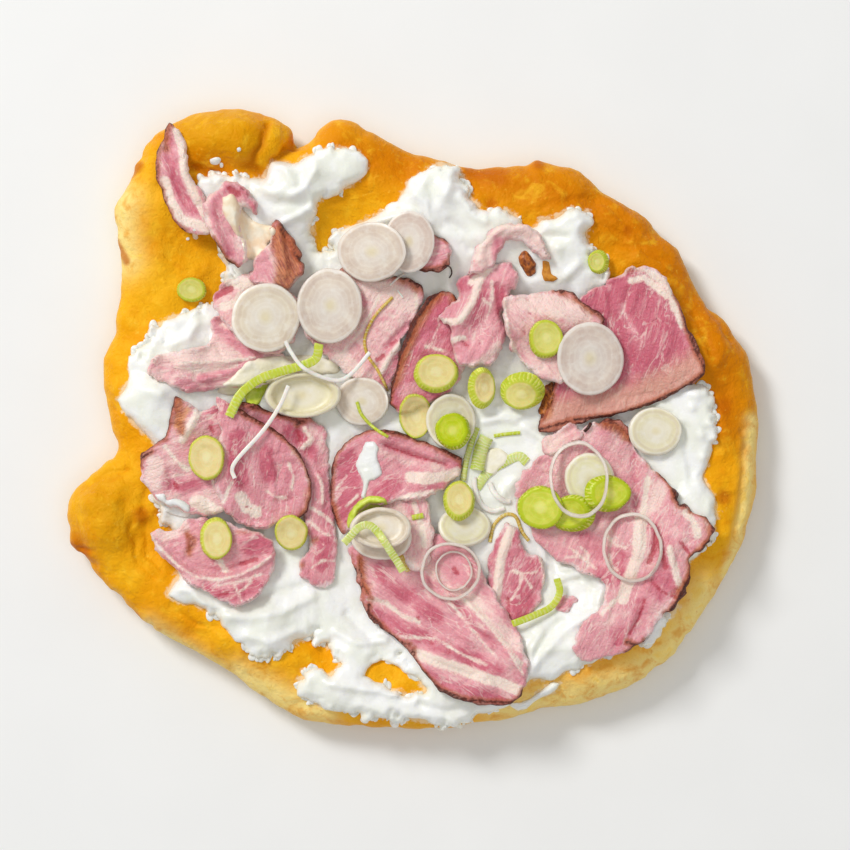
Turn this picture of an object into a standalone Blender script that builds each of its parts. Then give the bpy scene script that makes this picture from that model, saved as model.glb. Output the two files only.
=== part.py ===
"""A fried flatbread heaped with cream, smoked ham and sliced onion.

Lengths are in millimetres and angles in degrees until a mesh is made, which is in metres.
The bread rests on z = 0, and the origin is under the middle of its outline.
Each piece is laid on the pile of the pieces before it, from the bread up.
"""

import math

import bmesh
import bpy
import numpy as np
from mathutils import Vector
from mathutils.geometry import delaunay_2d_cdt

MILLIMETRE = 0.001
GAP = 0.34                # clear space between pieces that touch

# The bread
BREAD_MIDDLE = 9.0        # thickness under the cream
RIM_HEIGHT = 18.5         # top of the puffed rim
RIM_EDGE = 8.0            # height of the widest line round the bread
RIM_SHOULDER = 15.0       # from the edge in to the top of the rim
RIM_REACH = 46.0          # from the edge in to the flat middle
SOLE_ROUND = 9.0          # from the edge in to where the underside lies flat
EDGE_STEP = 6.0
RIM_STEP = 7.5
MIDDLE_STEP = 19.0
BLISTER = 0.55            # height of the small waves in the crust

# The cream
CREAM_EDGE = 1.3
CREAM_BODY = 2.7
CREAM_SLOPE = 4.5         # how far in the cream reaches most of its thickness
CREAM_STEP = 4.8
CREAM_INNER_STEP = 8.5
CREAM_SOLE_STEP = 17.0
CREAM_LEAST = 0.7

# Ham, onion and greens
HAM_THICKNESS = 1.7
HAM_EDGE = 0.7            # the rind's share of the thickness at the outline
HAM_STEP = 5.2
HAM_INNER_STEP = 7.0
ROUND_THICKNESS = 2.2
GREEN_THICKNESS = 2.0
RING_THICKNESS = 2.6
RING_BAND = 3.0
CUP_HEIGHT = 4.4
CURL_THICKNESS = 1.5
ROUND_BEND = 0.75         # how far a round slice follows what is under it
SAG_PASSES = 14

# The grid on which the height of the pile is kept
CELL = 0.5
GRID_CORNER = np.array([-132.0, -120.0])
GRID_SHAPE = (486, 536)
CELL_SLACK = 0.02

BREAD_OUTLINE = [
    (-65, 112), (-76, 111), (-86, 107), (-98, 97), (-103, 85), (-107, 79), (-110, 76), (-108, 71),
    (-106, 57), (-107, 31), (-112, 23), (-111, 12), (-109, -2), (-105, -10), (-108, -15), (-116, -20),
    (-125, -30), (-124, -41), (-119, -52), (-108, -64), (-100, -73), (-93, -77), (-80, -84),
    (-64, -94), (-47, -105), (-37, -110), (-19, -112), (7, -113), (25, -111), (57, -104), (76, -99),
    (92, -90), (102, -78), (109, -66), (119, -48), (124, -30), (125, -12), (125.5, 3), (123, 20),
    (115, 33), (104, 46), (98, 59), (86, 72), (71, 81), (61, 89), (48, 92), (32, 91), (16, 92),
    (-2, 97), (-15, 105), (-26, 109), (-34, 104), (-41, 98), (-44, 105), (-53, 110),
]

# Humps in the crust: place, reach and rise
CRUST_HUMPS = [
    ((-62, 101), 11, 4.0),     # rolled top lobe
    ((-80, 100), 10, 2.5),
    ((-49, 101), 7, 3.0),      # knuckle beside the notch
    ((-104, 76), 7, 2.0),
    ((-92, 62), 17, -3.0),     # broad flat place on the left
    ((-92, 38), 15, -2.5),
    ((-26, 103), 8, 2.5),
    ((46, 84), 15, 2.5),       # fold on the upper right
    ((108, 28), 14, 2.5),
    ((116, -40), 16, 2.0),
    ((108, 5), 6, -1.6),       # dimples on the right side
    ((111, -26), 6, -1.6),
    ((-112, -34), 9, 3.0),     # lower left lobe
    ((-106, -55), 9, 2.0),
    ((-60, -88), 13, 2.0),
    ((20, -106), 12, -1.5),
    ((70, -96), 15, 1.5),
    ((-99, 29), 3, -1.4),
]

# Creases in the crust: route, half width and depth
CRUST_CREASES = [
    ([(-84, 93), (-72, 91), (-62, 90), (-51, 87), (-43, 92), (-41, 99)], 3.2, 4.5),
    ([(20, 84), (36, 80), (52, 82), (66, 76)], 3.4, 2.4),
    ([(-117, -24), (-108, -23), (-102, -19)], 2.8, 2.8),
    ([(-101, -28), (-99, -40), (-95, -52)], 3.2, 3.0),
    ([(-121, -46), (-112, -45)], 2.4, 2.2),
    ([(-46, -92), (-30, -100), (-8, -104)], 3.2, 1.6),
]

CREAM_OUTLINE = [
    (-77, 86), (-68, 87), (-52, 87), (-53, 91), (-47, 93), (-43, 91), (-39, 94), (-28, 97), (-20, 96),
    (-15, 91), (-20, 84), (-33, 78), (-35, 69), (-34, 60), (-29.5, 60), (-29, 66), (-16, 72), (-8, 77),
    (-4, 78), (-1, 85), (7, 91), (12, 92), (18, 90), (19, 84), (26, 74), (35, 75), (42, 67), (45, 72),
    (51, 72), (57, 76), (63, 75), (65, 68), (62, 64), (71, 56), (69, 48), (86, 32), (100, 13),
    (107, 10), (108, -10), (105, -21), (110, -31), (108, -40), (97, -57), (82, -78), (68, -86),
    (49, -94), (41, -95), (37, -101), (28, -106), (14, -111), (5, -110), (-15, -107), (-37, -102),
    (-41, -96), (-39, -90), (-29, -91), (-26, -88), (-32, -81), (-38, -79), (-46, -84), (-52, -86),
    (-60, -82), (-65, -77), (-74, -69), (-83, -67), (-88, -64), (-83, -51), (-89, -37), (-92, -28),
    (-87, -19), (-92, -11), (-98, -4), (-106, 6), (-101, 14), (-101, 22), (-92, 29), (-94, 32),
    (-86, 37), (-73, 40), (-67, 55), (-74, 73),
]

# Openings in the cream through which the bread shows
CREAM_OPENINGS = [
    [(-18, -93), (-15, -88), (-8, -86), (-1, -92), (3, -95), (3, -99), (-11, -95)],
]

# Thick and thin places in the cream: place, reach and rise
CREAM_HUMPS = [
    ((12, 84), 6, 2.2),
    ((-36, 88), 9, 1.8),
    ((-8, 68), 12, 1.6),
    ((30, 62), 14, 1.6),
    ((55, 62), 9, 1.8),
    ((102, 0), 8, 1.6),
    ((-98, 8), 7, 1.6),
    ((-24, -74), 12, -1.4),
    ((10, -106), 8, 1.0),
]

CREAM_DABS = {
    "cream_dab_low": [(36, -103), (41, -102), (47, -97), (54, -95), (50, -99), (45, -102), (40, -105.5)],
    "cream_dab_side": [(83, -81), (86, -74), (92, -68), (97.5, -67), (93, -73), (88, -78)],
}

# Ham slices from the lowest up: outline, then what sets the slice apart.
# A wave is height, length and direction; a lift raises the side that lies in a direction.
HAM_SLICES = {
    "ham_back": dict(
        outline=[(-62, 6), (-46, 1), (-35, 0), (-30, -8), (-29, -26), (-27, -40), (-27, -57), (-30, -62),
                 (-40, -57), (-37, -43), (-41, -31), (-50, -10), (-62, 1)],
        wave=(0.8, 18, 60)),
    "ham_pale": dict(
        outline=[(-84, 8), (-76, 3), (-67, 4), (-64, -8), (-64, -28), (-69, -35), (-80, -34), (-94, -26),
                 (-97, -14), (-89, -8), (-86, -1)],
        wave=(0.7, 16, 20)),
    "ham_round": dict(
        outline=[(-69, 7), (-58, 1), (-45, -7), (-38, -16), (-36, -28), (-40, -36), (-56, -39), (-66, -34),
                 (-70, -24), (-68, -8)],
        lift=(1.6, 30)),
    "ham_pleated": dict(
        outline=[(-73, 35), (-66, 36), (-54, 25), (-43, 22), (-41, 15), (-58, 11), (-71, 10), (-80, 9),
                 (-91, 14), (-94, 17), (-90, 23), (-72, 26)],
        wave=(1.3, 9, 75)),
    "ham_under_left": dict(
        outline=[(-62, 51), (-54, 53), (-46, 48), (-40, 41), (-41, 30), (-47, 23), (-55, 24), (-65, 32),
                 (-71, 41), (-69, 48)]),
    "ham_strip": dict(
        outline=[(-87, 106), (-82, 102), (-80, 89), (-74, 79), (-70, 71), (-72, 66), (-83, 68), (-88, 77),
                 (-92, 90), (-89, 100)],
        wave=(0.6, 17, 80)),
    "ham_loop": dict(
        outline=[(-74, 76), (-67, 84), (-60, 83), (-54, 73), (-61, 75), (-62, 69), (-58, 59), (-61, 53),
                 (-66, 57), (-72, 66)],
        thickness=3.2, wave=(1.6, 12, 70)),
    "ham_roast": dict(
        outline=[(-57, 55), (-50, 64), (-51, 70), (-46, 69), (-39, 58), (-39, 52), (-44, 46), (-51, 48),
                 (-57, 48)],
        thickness=4.0),
    "ham_top": dict(
        outline=[(-25, 54), (-14, 49), (-4, 51), (5, 45), (-3, 28), (-7, 10), (-16, 12), (-28, 20),
                 (-39, 32), (-35, 44)],
        wave=(0.8, 20, 40)),
    "ham_rind": dict(
        outline=[(11, 46), (17, 42), (22, 26), (19, 17), (9, 6), (-4, 2), (-8, 6), (-5, 20), (0, 34),
                 (6, 43)],
        thickness=2.6, lift=(1.8, 180)),
    "ham_dark": dict(
        outline=[(-6, 62), (2, 67), (13, 63), (14, 55), (9, 52), (2, 53)],
        thickness=2.6),
    "ham_marbled": dict(
        outline=[(16, 48), (26, 54), (37, 55), (38, 49), (33, 40), (34, 27), (28, 19), (18, 19), (14, 25),
                 (15, 31), (9, 37), (16, 42)],
        thickness=3.4, wave=(1.0, 14, 130)),
    "ham_arch": dict(
        outline=[(20, 51), (23, 60), (31, 69), (39, 69), (46, 65), (50, 56), (46, 56), (40, 63), (33, 62),
                 (30, 54), (25, 52)],
        thickness=3.6, lift=(2.0, 90)),
    "ham_big": dict(
        outline=[(60, 43), (70, 48), (79, 54), (87, 54), (94, 44), (100, 30), (105, 18), (100, 12), (84, 4),
                 (68, 0), (45, -5), (50, 8), (54, 32)],
        wave=(0.9, 26, 55), lift=(1.6, 20)),
    "ham_folded": dict(
        outline=[(33, 43), (40, 44), (56, 46), (62, 40), (69, 36), (66, 24), (58, 14), (50, 13), (40, 19),
                 (35, 27), (33, 35)],
        thickness=2.6, wave=(0.9, 22, 100)),
    "ham_patch": dict(
        outline=[(34, -38), (38, -40), (41, -48), (47, -50), (48, -60), (43, -70), (34, -73), (29, -66),
                 (28, -50)]),
    "ham_right": dict(
        outline=[(37, -24), (52, -10), (70, 0), (78, -5), (82, -14), (93, -24), (97, -32), (106, -36),
                 (107, -44), (100, -50), (99, -60), (88, -73), (76, -84), (61, -86), (58, -78), (69, -65),
                 (67, -58), (52, -51), (42, -40)],
        wave=(1.0, 24, 35), lift=(1.4, -20)),
    "ham_bottom": dict(
        outline=[(-22, -47), (-12, -41), (6, -41), (19, -46), (30, -63), (40, -80), (41, -93), (36, -102),
                 (15, -100), (4, -90), (-3, -81), (-15, -72), (-19, -59)],
        wave=(0.9, 16, 130), lift=(1.6, 230)),
    "ham_peg": dict(
        outline=[(-10, -31), (-2, -28), (5, -28), (8, -44), (4, -55), (-4, -50)],
        thickness=2.6),
    "ham_centre": dict(
        outline=[(-27, -13), (-20, -6), (-9, -4), (3, -8), (19, -15), (11, -26), (-3, -30), (-16, -32),
                 (-24, -42), (-29, -32), (-29, -20)],
        wave=(0.8, 20, 160), lift=(1.4, 110)),
    "ham_turned": dict(
        outline=[(-94, -41), (-84, -40), (-78, -36), (-62, -39), (-50, -44), (-48, -52), (-54, -63),
                 (-63, -67), (-74, -62), (-86, -53)],
        wave=(0.9, 18, 90), lift=(2.4, 235)),
}

# Onion from the lowest up: kind, middle, width and height seen from above, and turn
ONION_PIECES = {
    "onion_crescent": ("white", (-1, 63), (18, 22), 10),
    "onion_above": ("white", (-14, 59), (25, 22), 0),
    "onion_left": ("white", (-52, 36), (25, 25), 0),
    "onion_left_middle": ("white", (-29, 40), (24, 27), 0),
    "green_far_left": ("green", (-79, 46), (11, 9), 0),
    "green_top_right": ("green", (67, 56), (8, 9), 0),
    "onion_middle": ("white", (-18, 6), (19, 18), 0),
    "green_middle": ("green", (9, 16), (17, 14), 0),
    "onion_heart": ("white", (14, -1), (18, 20), 0),
    "green_heart": ("green", (15, -5), (13.5, 13.5), 0),
    "green_leaning": ("green", (25, 11), (10, 16), -12),
    "green_middle_right": ("green", (40, 10), (17, 14), 0),
    "green_tucked": ("green", (48, 28), (13, 14), 0),
    "onion_right": ("white", (64, 21), (24, 27), 0),
    "onion_far_right": ("white", (87, -5), (19, 18), 0),
    "onion_low_right": ("white", (64, -22), (18, 20), 0),
    "green_low_right": ("green", (58, -34), (17, 14), 0),
    "green_low_middle": ("green", (46, -32), (17, 16), 0),
    "green_low_far_right": ("green", (70, -27), (17, 14), 20),
    "ring_low_right": ("ring", (60, -22), (22, 27), 0),
    "ring_far_low_right": ("ring", (79, -46), (22, 24.5), 0),
    "onion_low_middle": ("white", (19, -39), (19, 15.5), 0),
    "green_low_centre": ("green", (17, -30), (12, 15), 0),
    "ring_bottom": ("ring", (14, -55), (21.5, 21), 0),
    "onion_low_left": ("white", (-11, -43), (23, 16), -10),
    "cup_low_left": ("cup", (-11, -39), (22, 14.5), -6),
    "green_left": ("green", (-73, -14), (13.5, 16.5), 0),
    "green_low_left": ("green", (-70, -43), (11.5, 16), 15),
    "green_behind": ("green", (-43, -41), (12, 13.5), 0),
    "cup_middle": ("cup", (-39, 8), (27, 16.5), -4),
}

# Curls of cut onion, laid last: kind, width and route
CURLS = {
    "curl_green_ticks": ("green", 3.4, [(-65, 1), (-61, 9), (-54, 14.5), (-47, 17), (-35, 21), (-33, 27)]),
    "curl_white_long": ("white", 2.4, [(-44, 12), (-47, 5), (-53, -4), (-62, -14), (-64, -18), (-63, -21)]),
    "curl_white_hook": ("white", 2.4, [(-45, 28), (-43, 24), (-38, 18), (-28, 14), (-22, 16), (-15, 24)]),
    "curl_green_hook": ("green", 3.4, [(52, -57), (53, -62), (50, -67), (44, -70), (36, -73)]),
    "curl_low_left": ("green", 3.0, [(-24, -44), (-18, -38), (-13, -39), (-6, -49), (-3, -54)]),
}

# Profile of a round slice: share of the radius, share of the thickness
ROUND_PROFILE = [(0.0, 1.0), (0.42, 0.8), (0.76, 1.05), (1.0, 0.72)]
GREEN_PROFILE = [(0.0, 0.7), (0.55, 0.95), (1.0, 0.75)]
RING_PROFILE = [(0.0, 0.5), (0.5, 1.0), (1.0, 0.5)]
CUP_PROFILE = [(0.0, 0.3), (0.66, 0.3), (0.84, 0.95), (1.0, 0.7)]


def clear_scene():
    for item in list(bpy.data.objects):
        bpy.data.objects.remove(item, do_unlink=True)


def linear(red, green, blue):
    """Linear colour of a display colour given as 0 to 255."""
    shares = [value / 255 for value in (red, green, blue)]
    return [s / 12.92 if s <= 0.04045 else ((s + 0.055) / 1.055) ** 2.4 for s in shares]


def finish(name, colour, roughness):
    material = bpy.data.materials.new(name)
    material.use_nodes = True
    shader = material.node_tree.nodes["Principled BSDF"]
    shader.inputs["Base Color"].default_value = (*linear(*colour), 1.0)
    shader.inputs["Roughness"].default_value = roughness
    shader.inputs["Metallic"].default_value = 0.0
    return material


def crust_finish():
    return finish("fried_crust", (246, 180, 58), 0.42)


def cream_finish():
    return finish("sour_cream", (241, 240, 232), 0.35)


def ham_finish():
    return finish("smoked_ham", (220, 152, 168), 0.38)


def onion_finish():
    return finish("white_onion", (236, 226, 208), 0.32)


def green_finish():
    return finish("green_onion", (192, 206, 60), 0.34)


def even_steps(points, step, closed):
    """The same line with its points an even step apart."""
    line = np.vstack([points, points[:1]]) if closed else points
    length = np.concatenate([[0.0], np.cumsum(np.linalg.norm(np.diff(line, axis=0), axis=1))])
    count = max(4, round(length[-1] / step))
    stations = np.linspace(0.0, length[-1], count, endpoint=False) if closed else np.linspace(
        0.0, length[-1], count + 1)
    return np.stack([np.interp(stations, length, line[:, axis]) for axis in (0, 1)], axis=1)


def smooth(before, start, end, after, share):
    """Catmull-Rom curve from start to end."""
    return 0.5 * (2 * start + (end - before) * share
                  + (2 * before - 5 * start + 4 * end - after) * share ** 2
                  + (3 * start - before - 3 * end + after) * share ** 3)


def smooth_loop(corners, step):
    """An even closed curve through the corners, counter-clockwise."""
    corners = np.array(corners, float)
    share = np.linspace(0.0, 1.0, 16, endpoint=False)[None, :, None]
    rolled = [np.roll(corners, turn, axis=0)[:, None, :] for turn in (1, 0, -1, -2)]
    loop = even_steps(smooth(*rolled, share).reshape(-1, 2), step, closed=True)
    x, y = loop.T
    area = np.sum(x * np.roll(y, -1) - y * np.roll(x, -1))
    return loop if area > 0 else loop[::-1]


def smooth_route(corners, step):
    """An even open curve through the corners."""
    corners = np.array(corners, float)
    padded = np.vstack([2 * corners[0] - corners[1], corners, 2 * corners[-1] - corners[-2]])
    share = np.linspace(0.0, 1.0, 16)[None, :, None]
    parts = [padded[start:len(padded) - 3 + start][:, None, :] for start in range(4)]
    return even_steps(smooth(*parts, share).reshape(-1, 2), step, closed=False)


def distance_to_line(points, line, closed=True):
    """Distance from each point to the nearest stretch of a line."""
    ends = np.roll(line, -1, axis=0) if closed else line[1:]
    starts = line if closed else line[:-1]
    run = ends - starts
    offset = points[:, None, :] - starts[None, :, :]
    share = np.clip((offset * run).sum(axis=2) / np.maximum((run * run).sum(axis=1), 1e-9), 0.0, 1.0)
    return np.linalg.norm(offset - share[:, :, None] * run, axis=2).min(axis=1)


def inside(points, loops):
    """Whether each point is inside the outlines, counted as even and odd crossings."""
    crossings = np.zeros(len(points), int)
    x = points[:, 0][:, None]
    y = points[:, 1][:, None]
    for loop in loops:
        ends = np.roll(loop, -1, axis=0)
        spans = (loop[:, 1] > y) != (ends[:, 1] > y)
        rise = np.where(np.abs(ends[:, 1] - loop[:, 1]) < 1e-9, 1e-9, ends[:, 1] - loop[:, 1])
        meets = loop[:, 0] + (y - loop[:, 1]) * (ends[:, 0] - loop[:, 0]) / rise
        crossings += (spans & (x < meets)).sum(axis=1)
    return crossings % 2 == 1


def thin_out(points, apart):
    """The points without those that crowd an earlier one."""
    kept = []
    for point in points:
        if all(math.dist(point, other) > apart for other in kept):
            kept.append(point)
    return np.array(kept).reshape(-1, 2)


def inset(loop, depth, apart):
    """Points a set depth inside an outline."""
    run = np.roll(loop, -1, axis=0) - np.roll(loop, 1, axis=0)
    inward = np.stack([-run[:, 1], run[:, 0]], axis=1) / np.linalg.norm(run, axis=1)[:, None]
    moved = loop + inward * depth
    keep = inside(moved, [loop]) & (distance_to_line(moved, loop) > 0.85 * depth)
    return thin_out(moved[keep], apart)


def scattered(loops, step, margin, seed=1):
    """Staggered rows of points inside the outlines, each a little off its place."""
    draw = np.random.default_rng(seed)
    every = np.vstack(loops)
    low = every.min(axis=0)
    high = every.max(axis=0)
    rows = np.arange(low[1], high[1] + step, step * math.sqrt(0.75))
    points = []
    for number, y in enumerate(rows):
        shift = 0.5 * step * (number % 2)
        points += [(x + shift, y) for x in np.arange(low[0] - step, high[0] + step, step)]
    points = np.array(points) + draw.uniform(-0.12 * step, 0.12 * step, (len(points), 2))
    points = points[inside(points, loops)]
    clear = np.min([distance_to_line(points, loop) for loop in loops], axis=0) > margin
    return points[clear]


def region(loops, inner):
    """Points and counter-clockwise triangles that fill the space between outlines."""
    sides = []
    start = 0
    for loop in loops:
        size = len(loop)
        sides += [(start + step, start + (step + 1) % size) for step in range(size)]
        start += size
    everything = np.vstack([*loops, inner]) if len(inner) else np.vstack(loops)
    filled = delaunay_2d_cdt([Vector(point) for point in everything], sides, [], 0, 1e-5)
    points = np.array([tuple(point) for point in filled[0]])
    faces = np.array([tuple(face) for face in filled[2]])
    faces = faces[inside(points[faces].mean(axis=1), loops)]
    first, second, third = (points[faces[:, corner]] for corner in range(3))
    turn = np.cross(second - first, third - first)
    faces[turn < 0] = faces[turn < 0][:, ::-1]
    return points, faces[np.abs(turn) > 1e-4]


def covered(corners):
    """Grid cells under a triangle, and the share of each corner there."""
    low = np.maximum(np.floor((corners.min(axis=0) - GRID_CORNER) / CELL).astype(int), 0)
    high = np.ceil((corners.max(axis=0) - GRID_CORNER) / CELL).astype(int) + 1
    columns, rows = np.meshgrid(np.arange(low[0], high[0]), np.arange(low[1], high[1]))
    columns = columns.ravel()
    rows = rows.ravel()
    offset = np.stack([columns, rows], axis=1) * CELL + GRID_CORNER - corners[0]
    across, along = corners[1] - corners[0], corners[2] - corners[0]
    area = across[0] * along[1] - across[1] * along[0]
    second = (offset[:, 0] * along[1] - offset[:, 1] * along[0]) / area
    third = (across[0] * offset[:, 1] - across[1] * offset[:, 0]) / area
    shares = np.stack([1 - second - third, second, third], axis=1)
    keep = (shares > -CELL_SLACK).all(axis=1)
    return rows[keep], columns[keep], shares[keep]


class Pile:
    """The height of everything laid so far, on a square grid."""

    def __init__(self):
        self.level = np.zeros(GRID_SHAPE)
        self.reach = self.level

    def copy(self):
        other = Pile()
        other.level = self.level.copy()
        other.reach = self.reach
        return other

    def under(self, points):
        """Height that must be cleared at each point."""
        place = np.rint((points[:, :2] - GRID_CORNER) / CELL).astype(int)
        return self.reach[place[:, 1], place[:, 0]]

    def lay(self, points, faces):
        """Add the upper side of a piece, and let each cell reach its neighbours."""
        for face in faces:
            rows, columns, shares = covered(points[face, :2])
            height = shares @ points[face, 2]
            self.level[rows, columns] = np.maximum(self.level[rows, columns], height)
        wide = np.maximum(self.level, np.maximum(np.roll(self.level, 1, 0), np.roll(self.level, -1, 0)))
        self.reach = np.maximum(wide, np.maximum(np.roll(wide, 1, 1), np.roll(wide, -1, 1)))

    def lift(self, points, faces, gap):
        """Raise a lower side just enough for each of its triangles to clear the pile."""
        for face in faces:
            rows, columns, shares = covered(points[face, :2])
            for attempt in range(8):
                lack = self.reach[rows, columns] + gap - shares @ points[face, 2]
                if not len(lack) or lack.max() <= 0:
                    break
                worst = shares[lack.argmax()]
                spread = np.ones(3) if attempt == 7 else worst / (worst @ worst)
                points[face, 2] += spread * lack.max()


def sag(ground, faces, passes):
    """Height of a soft sheet that spans the hollows between the high places under it."""
    pairs = np.vstack([faces[:, [0, 1]], faces[:, [1, 2]], faces[:, [2, 0]]])
    pairs = np.vstack([pairs, pairs[:, ::-1]])
    count = np.maximum(np.bincount(pairs[:, 0], minlength=len(ground)), 1)
    height = ground.copy()
    for _ in range(passes):
        total = np.bincount(pairs[:, 0], weights=height[pairs[:, 1]], minlength=len(ground))
        height = np.maximum(ground, total / count)
    return height


def raised(ground, points):
    """A flat slope that follows the ground and clears all of it."""
    plane = np.column_stack([points[:, :2], np.ones(len(points))])
    slope = plane @ np.linalg.lstsq(plane, ground, rcond=None)[0]
    return slope + (ground - slope).max()


def outer_sides(faces):
    """Sides that only one triangle has, each in its triangle's direction."""
    sides = {(face[turn], face[(turn + 1) % 3]) for face in faces for turn in range(3)}
    return [side for side in sides if (side[1], side[0]) not in sides]


def outline_middle():
    """Middle of the bread's outline box, which the origin is put under."""
    loop = smooth_loop(BREAD_OUTLINE, EDGE_STEP)
    return np.append(0.5 * (loop.min(axis=0) + loop.max(axis=0)), 0.0)


def closed_body(name, upper, lower, material):
    """One closed solid from an upper and a lower side over the same outlines."""
    body = bmesh.new()
    corners = {}
    origin = outline_middle()
    for label, (points, faces) in (("top", upper), ("sole", lower)):
        for number in np.unique(faces):
            corners[label, number] = body.verts.new((points[number] - origin) * MILLIMETRE)
        for face in faces:
            order = face if label == "top" else face[::-1]
            body.faces.new([corners[label, number] for number in order])
    place = {tuple(np.round(lower[0][number, :2], 3)): number for number in np.unique(lower[1])}
    for start, end in outer_sides([tuple(face) for face in upper[1]]):
        low_start = place[tuple(np.round(upper[0][start, :2], 3))]
        low_end = place[tuple(np.round(upper[0][end, :2], 3))]
        if upper[0][start, 2] == lower[0][low_start, 2]:
            continue
        body.faces.new([corners["top", start], corners["sole", low_start],
                        corners["sole", low_end], corners["top", end]])
    bmesh.ops.remove_doubles(body, verts=body.verts, dist=0.02 * MILLIMETRE)
    mesh = bpy.data.meshes.new(name)
    body.to_mesh(mesh)
    body.free()
    mesh.shade_smooth()
    mesh.set_sharp_from_angle(angle=math.radians(50))
    mesh.materials.append(material)
    piece = bpy.data.objects.new(name, mesh)
    bpy.context.scene.collection.objects.link(piece)


def humps(points, places):
    """Sum of soft humps at the given places."""
    rise = np.zeros(len(points))
    for middle, reach, height in places:
        away = np.linalg.norm(points[:, :2] - middle, axis=1)
        rise += height * np.exp(-(away / reach) ** 2)
    return rise


def rounded(depth, reach):
    """A quarter-round from 0 at the edge to 1 at its full reach."""
    share = np.clip(depth / reach, 0.0, 1.0)
    return np.sqrt(1 - (1 - share) ** 2)


def crust_height(points, outline):
    """Upper surface of the bread."""
    depth = distance_to_line(points, outline)
    fall = np.clip((depth - RIM_SHOULDER) / (RIM_REACH - RIM_SHOULDER), 0.0, 1.0)
    fall = fall * fall * (3 - 2 * fall)
    height = RIM_HEIGHT + (BREAD_MIDDLE - RIM_HEIGHT) * fall + humps(points, CRUST_HUMPS)
    for route, half_width, deep in CRUST_CREASES:
        away = distance_to_line(points, smooth_route(route, 2.0), closed=False)
        height -= deep * np.exp(-(away / half_width) ** 2)
    x, y = points.T
    height += BLISTER * (np.sin(x / 4.1 + 1.7 * np.sin(y / 9)) + np.sin(y / 3.7 + 1.3 * np.sin(x / 8)))
    return RIM_EDGE + (height - RIM_EDGE) * rounded(depth, RIM_SHOULDER)


def make_bread(pile, material):
    outline = smooth_loop(BREAD_OUTLINE, EDGE_STEP)
    rings = [inset(outline, 1.3, 0.7 * EDGE_STEP), inset(outline, 5.0, 0.7 * EDGE_STEP)]
    spread = scattered([outline], RIM_STEP, 8.5)
    middle = scattered([outline], MIDDLE_STEP, RIM_REACH)
    spread = spread[distance_to_line(spread, outline) < RIM_REACH - 2]
    flat, faces = region([outline], np.vstack([*rings, spread, middle]))
    top = np.column_stack([flat, crust_height(flat, outline)])
    sole_points = np.vstack([inset(outline, 3.0, EDGE_STEP), inset(outline, SOLE_ROUND, 1.4 * EDGE_STEP),
                             scattered([outline], 2.4 * MIDDLE_STEP, 25.0)])
    flat_sole, sole_faces = region([outline], sole_points)
    depth = distance_to_line(flat_sole, outline)
    sole = np.column_stack([flat_sole, RIM_EDGE * (1 - rounded(depth, 0.98 * SOLE_ROUND))])
    on_edge = depth < 0.01
    sole[on_edge, 2] = RIM_EDGE
    top[distance_to_line(flat, outline) < 0.01, 2] = RIM_EDGE
    closed_body("bread", (top, faces), (sole, sole_faces), material)
    pile.lay(top, faces)


def make_cream(pile, material):
    loops = [smooth_loop(CREAM_OUTLINE, CREAM_STEP)]
    loops += [smooth_loop(opening, 0.8 * CREAM_STEP) for opening in CREAM_OPENINGS]
    flat_sole, sole_faces = region(loops, scattered(loops, CREAM_SOLE_STEP, 3.0))
    sole = np.column_stack([flat_sole, pile.under(flat_sole) + GAP])
    pile.lift(sole, sole_faces, GAP)
    spread = scattered(loops, CREAM_INNER_STEP, 4.6)
    rim = inset(loops[0], 2.2, 0.75 * CREAM_STEP)
    flat, faces = region(loops, np.vstack([rim, spread]))
    base = pile.copy()
    base.lay(sole, sole_faces)
    depth = np.min([distance_to_line(flat, loop) for loop in loops], axis=0)
    thick = CREAM_EDGE + CREAM_BODY * (1 - np.exp(-depth / CREAM_SLOPE)) + humps(flat, CREAM_HUMPS)
    top = np.column_stack([flat, sag(base.under(flat), faces, 2) + thick])
    base.lift(top, faces, CREAM_LEAST)
    closed_body("cream", (top, faces), (sole, sole_faces), material)
    pile.lay(top, faces)


def lay_piece(name, flat, faces, bottom, thickness, material, pile):
    """Lower a piece onto the pile, make it solid and add it to the pile."""
    sole = np.column_stack([flat, bottom])
    pile.lift(sole, faces, GAP)
    top = sole.copy()
    top[:, 2] += thickness
    closed_body(name, (top, faces), (sole, faces), material)
    pile.lay(top, faces)


def make_cream_dab(name, outline, pile, material):
    loop = smooth_loop(outline, 0.7 * CREAM_STEP)
    flat, faces = region([loop], scattered([loop], 0.7 * CREAM_STEP, 1.2))
    depth = distance_to_line(flat, loop)
    lay_piece(name, flat, faces, pile.under(flat) + GAP, 0.9 + 1.6 * rounded(depth, 2.5), material, pile)


def along(points, direction):
    """Distance of each point along a direction in degrees, from the middle of them all."""
    angle = math.radians(direction)
    return (points - points.mean(axis=0)) @ np.array([math.cos(angle), math.sin(angle)])


def make_ham_slice(name, pile, material, outline, thickness=HAM_THICKNESS, wave=None, lift=None):
    loop = smooth_loop(outline, HAM_STEP)
    flat, faces = region([loop], scattered([loop], HAM_INNER_STEP, 0.45 * HAM_INNER_STEP))
    bottom = sag(pile.under(flat) + GAP, faces, SAG_PASSES)
    if wave:
        height, length, direction = wave
        bottom += height * (1 + np.sin(2 * math.pi * along(flat, direction) / length))
    if lift:
        amount, direction = lift
        side = along(flat, direction)
        bottom += amount * np.clip(side / side.max(), 0.0, 1.0) ** 2
    edge = distance_to_line(flat, loop) < 0.5
    lay_piece(name, flat, faces, bottom, thickness * np.where(edge, HAM_EDGE, 1.0), material, pile)


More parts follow.
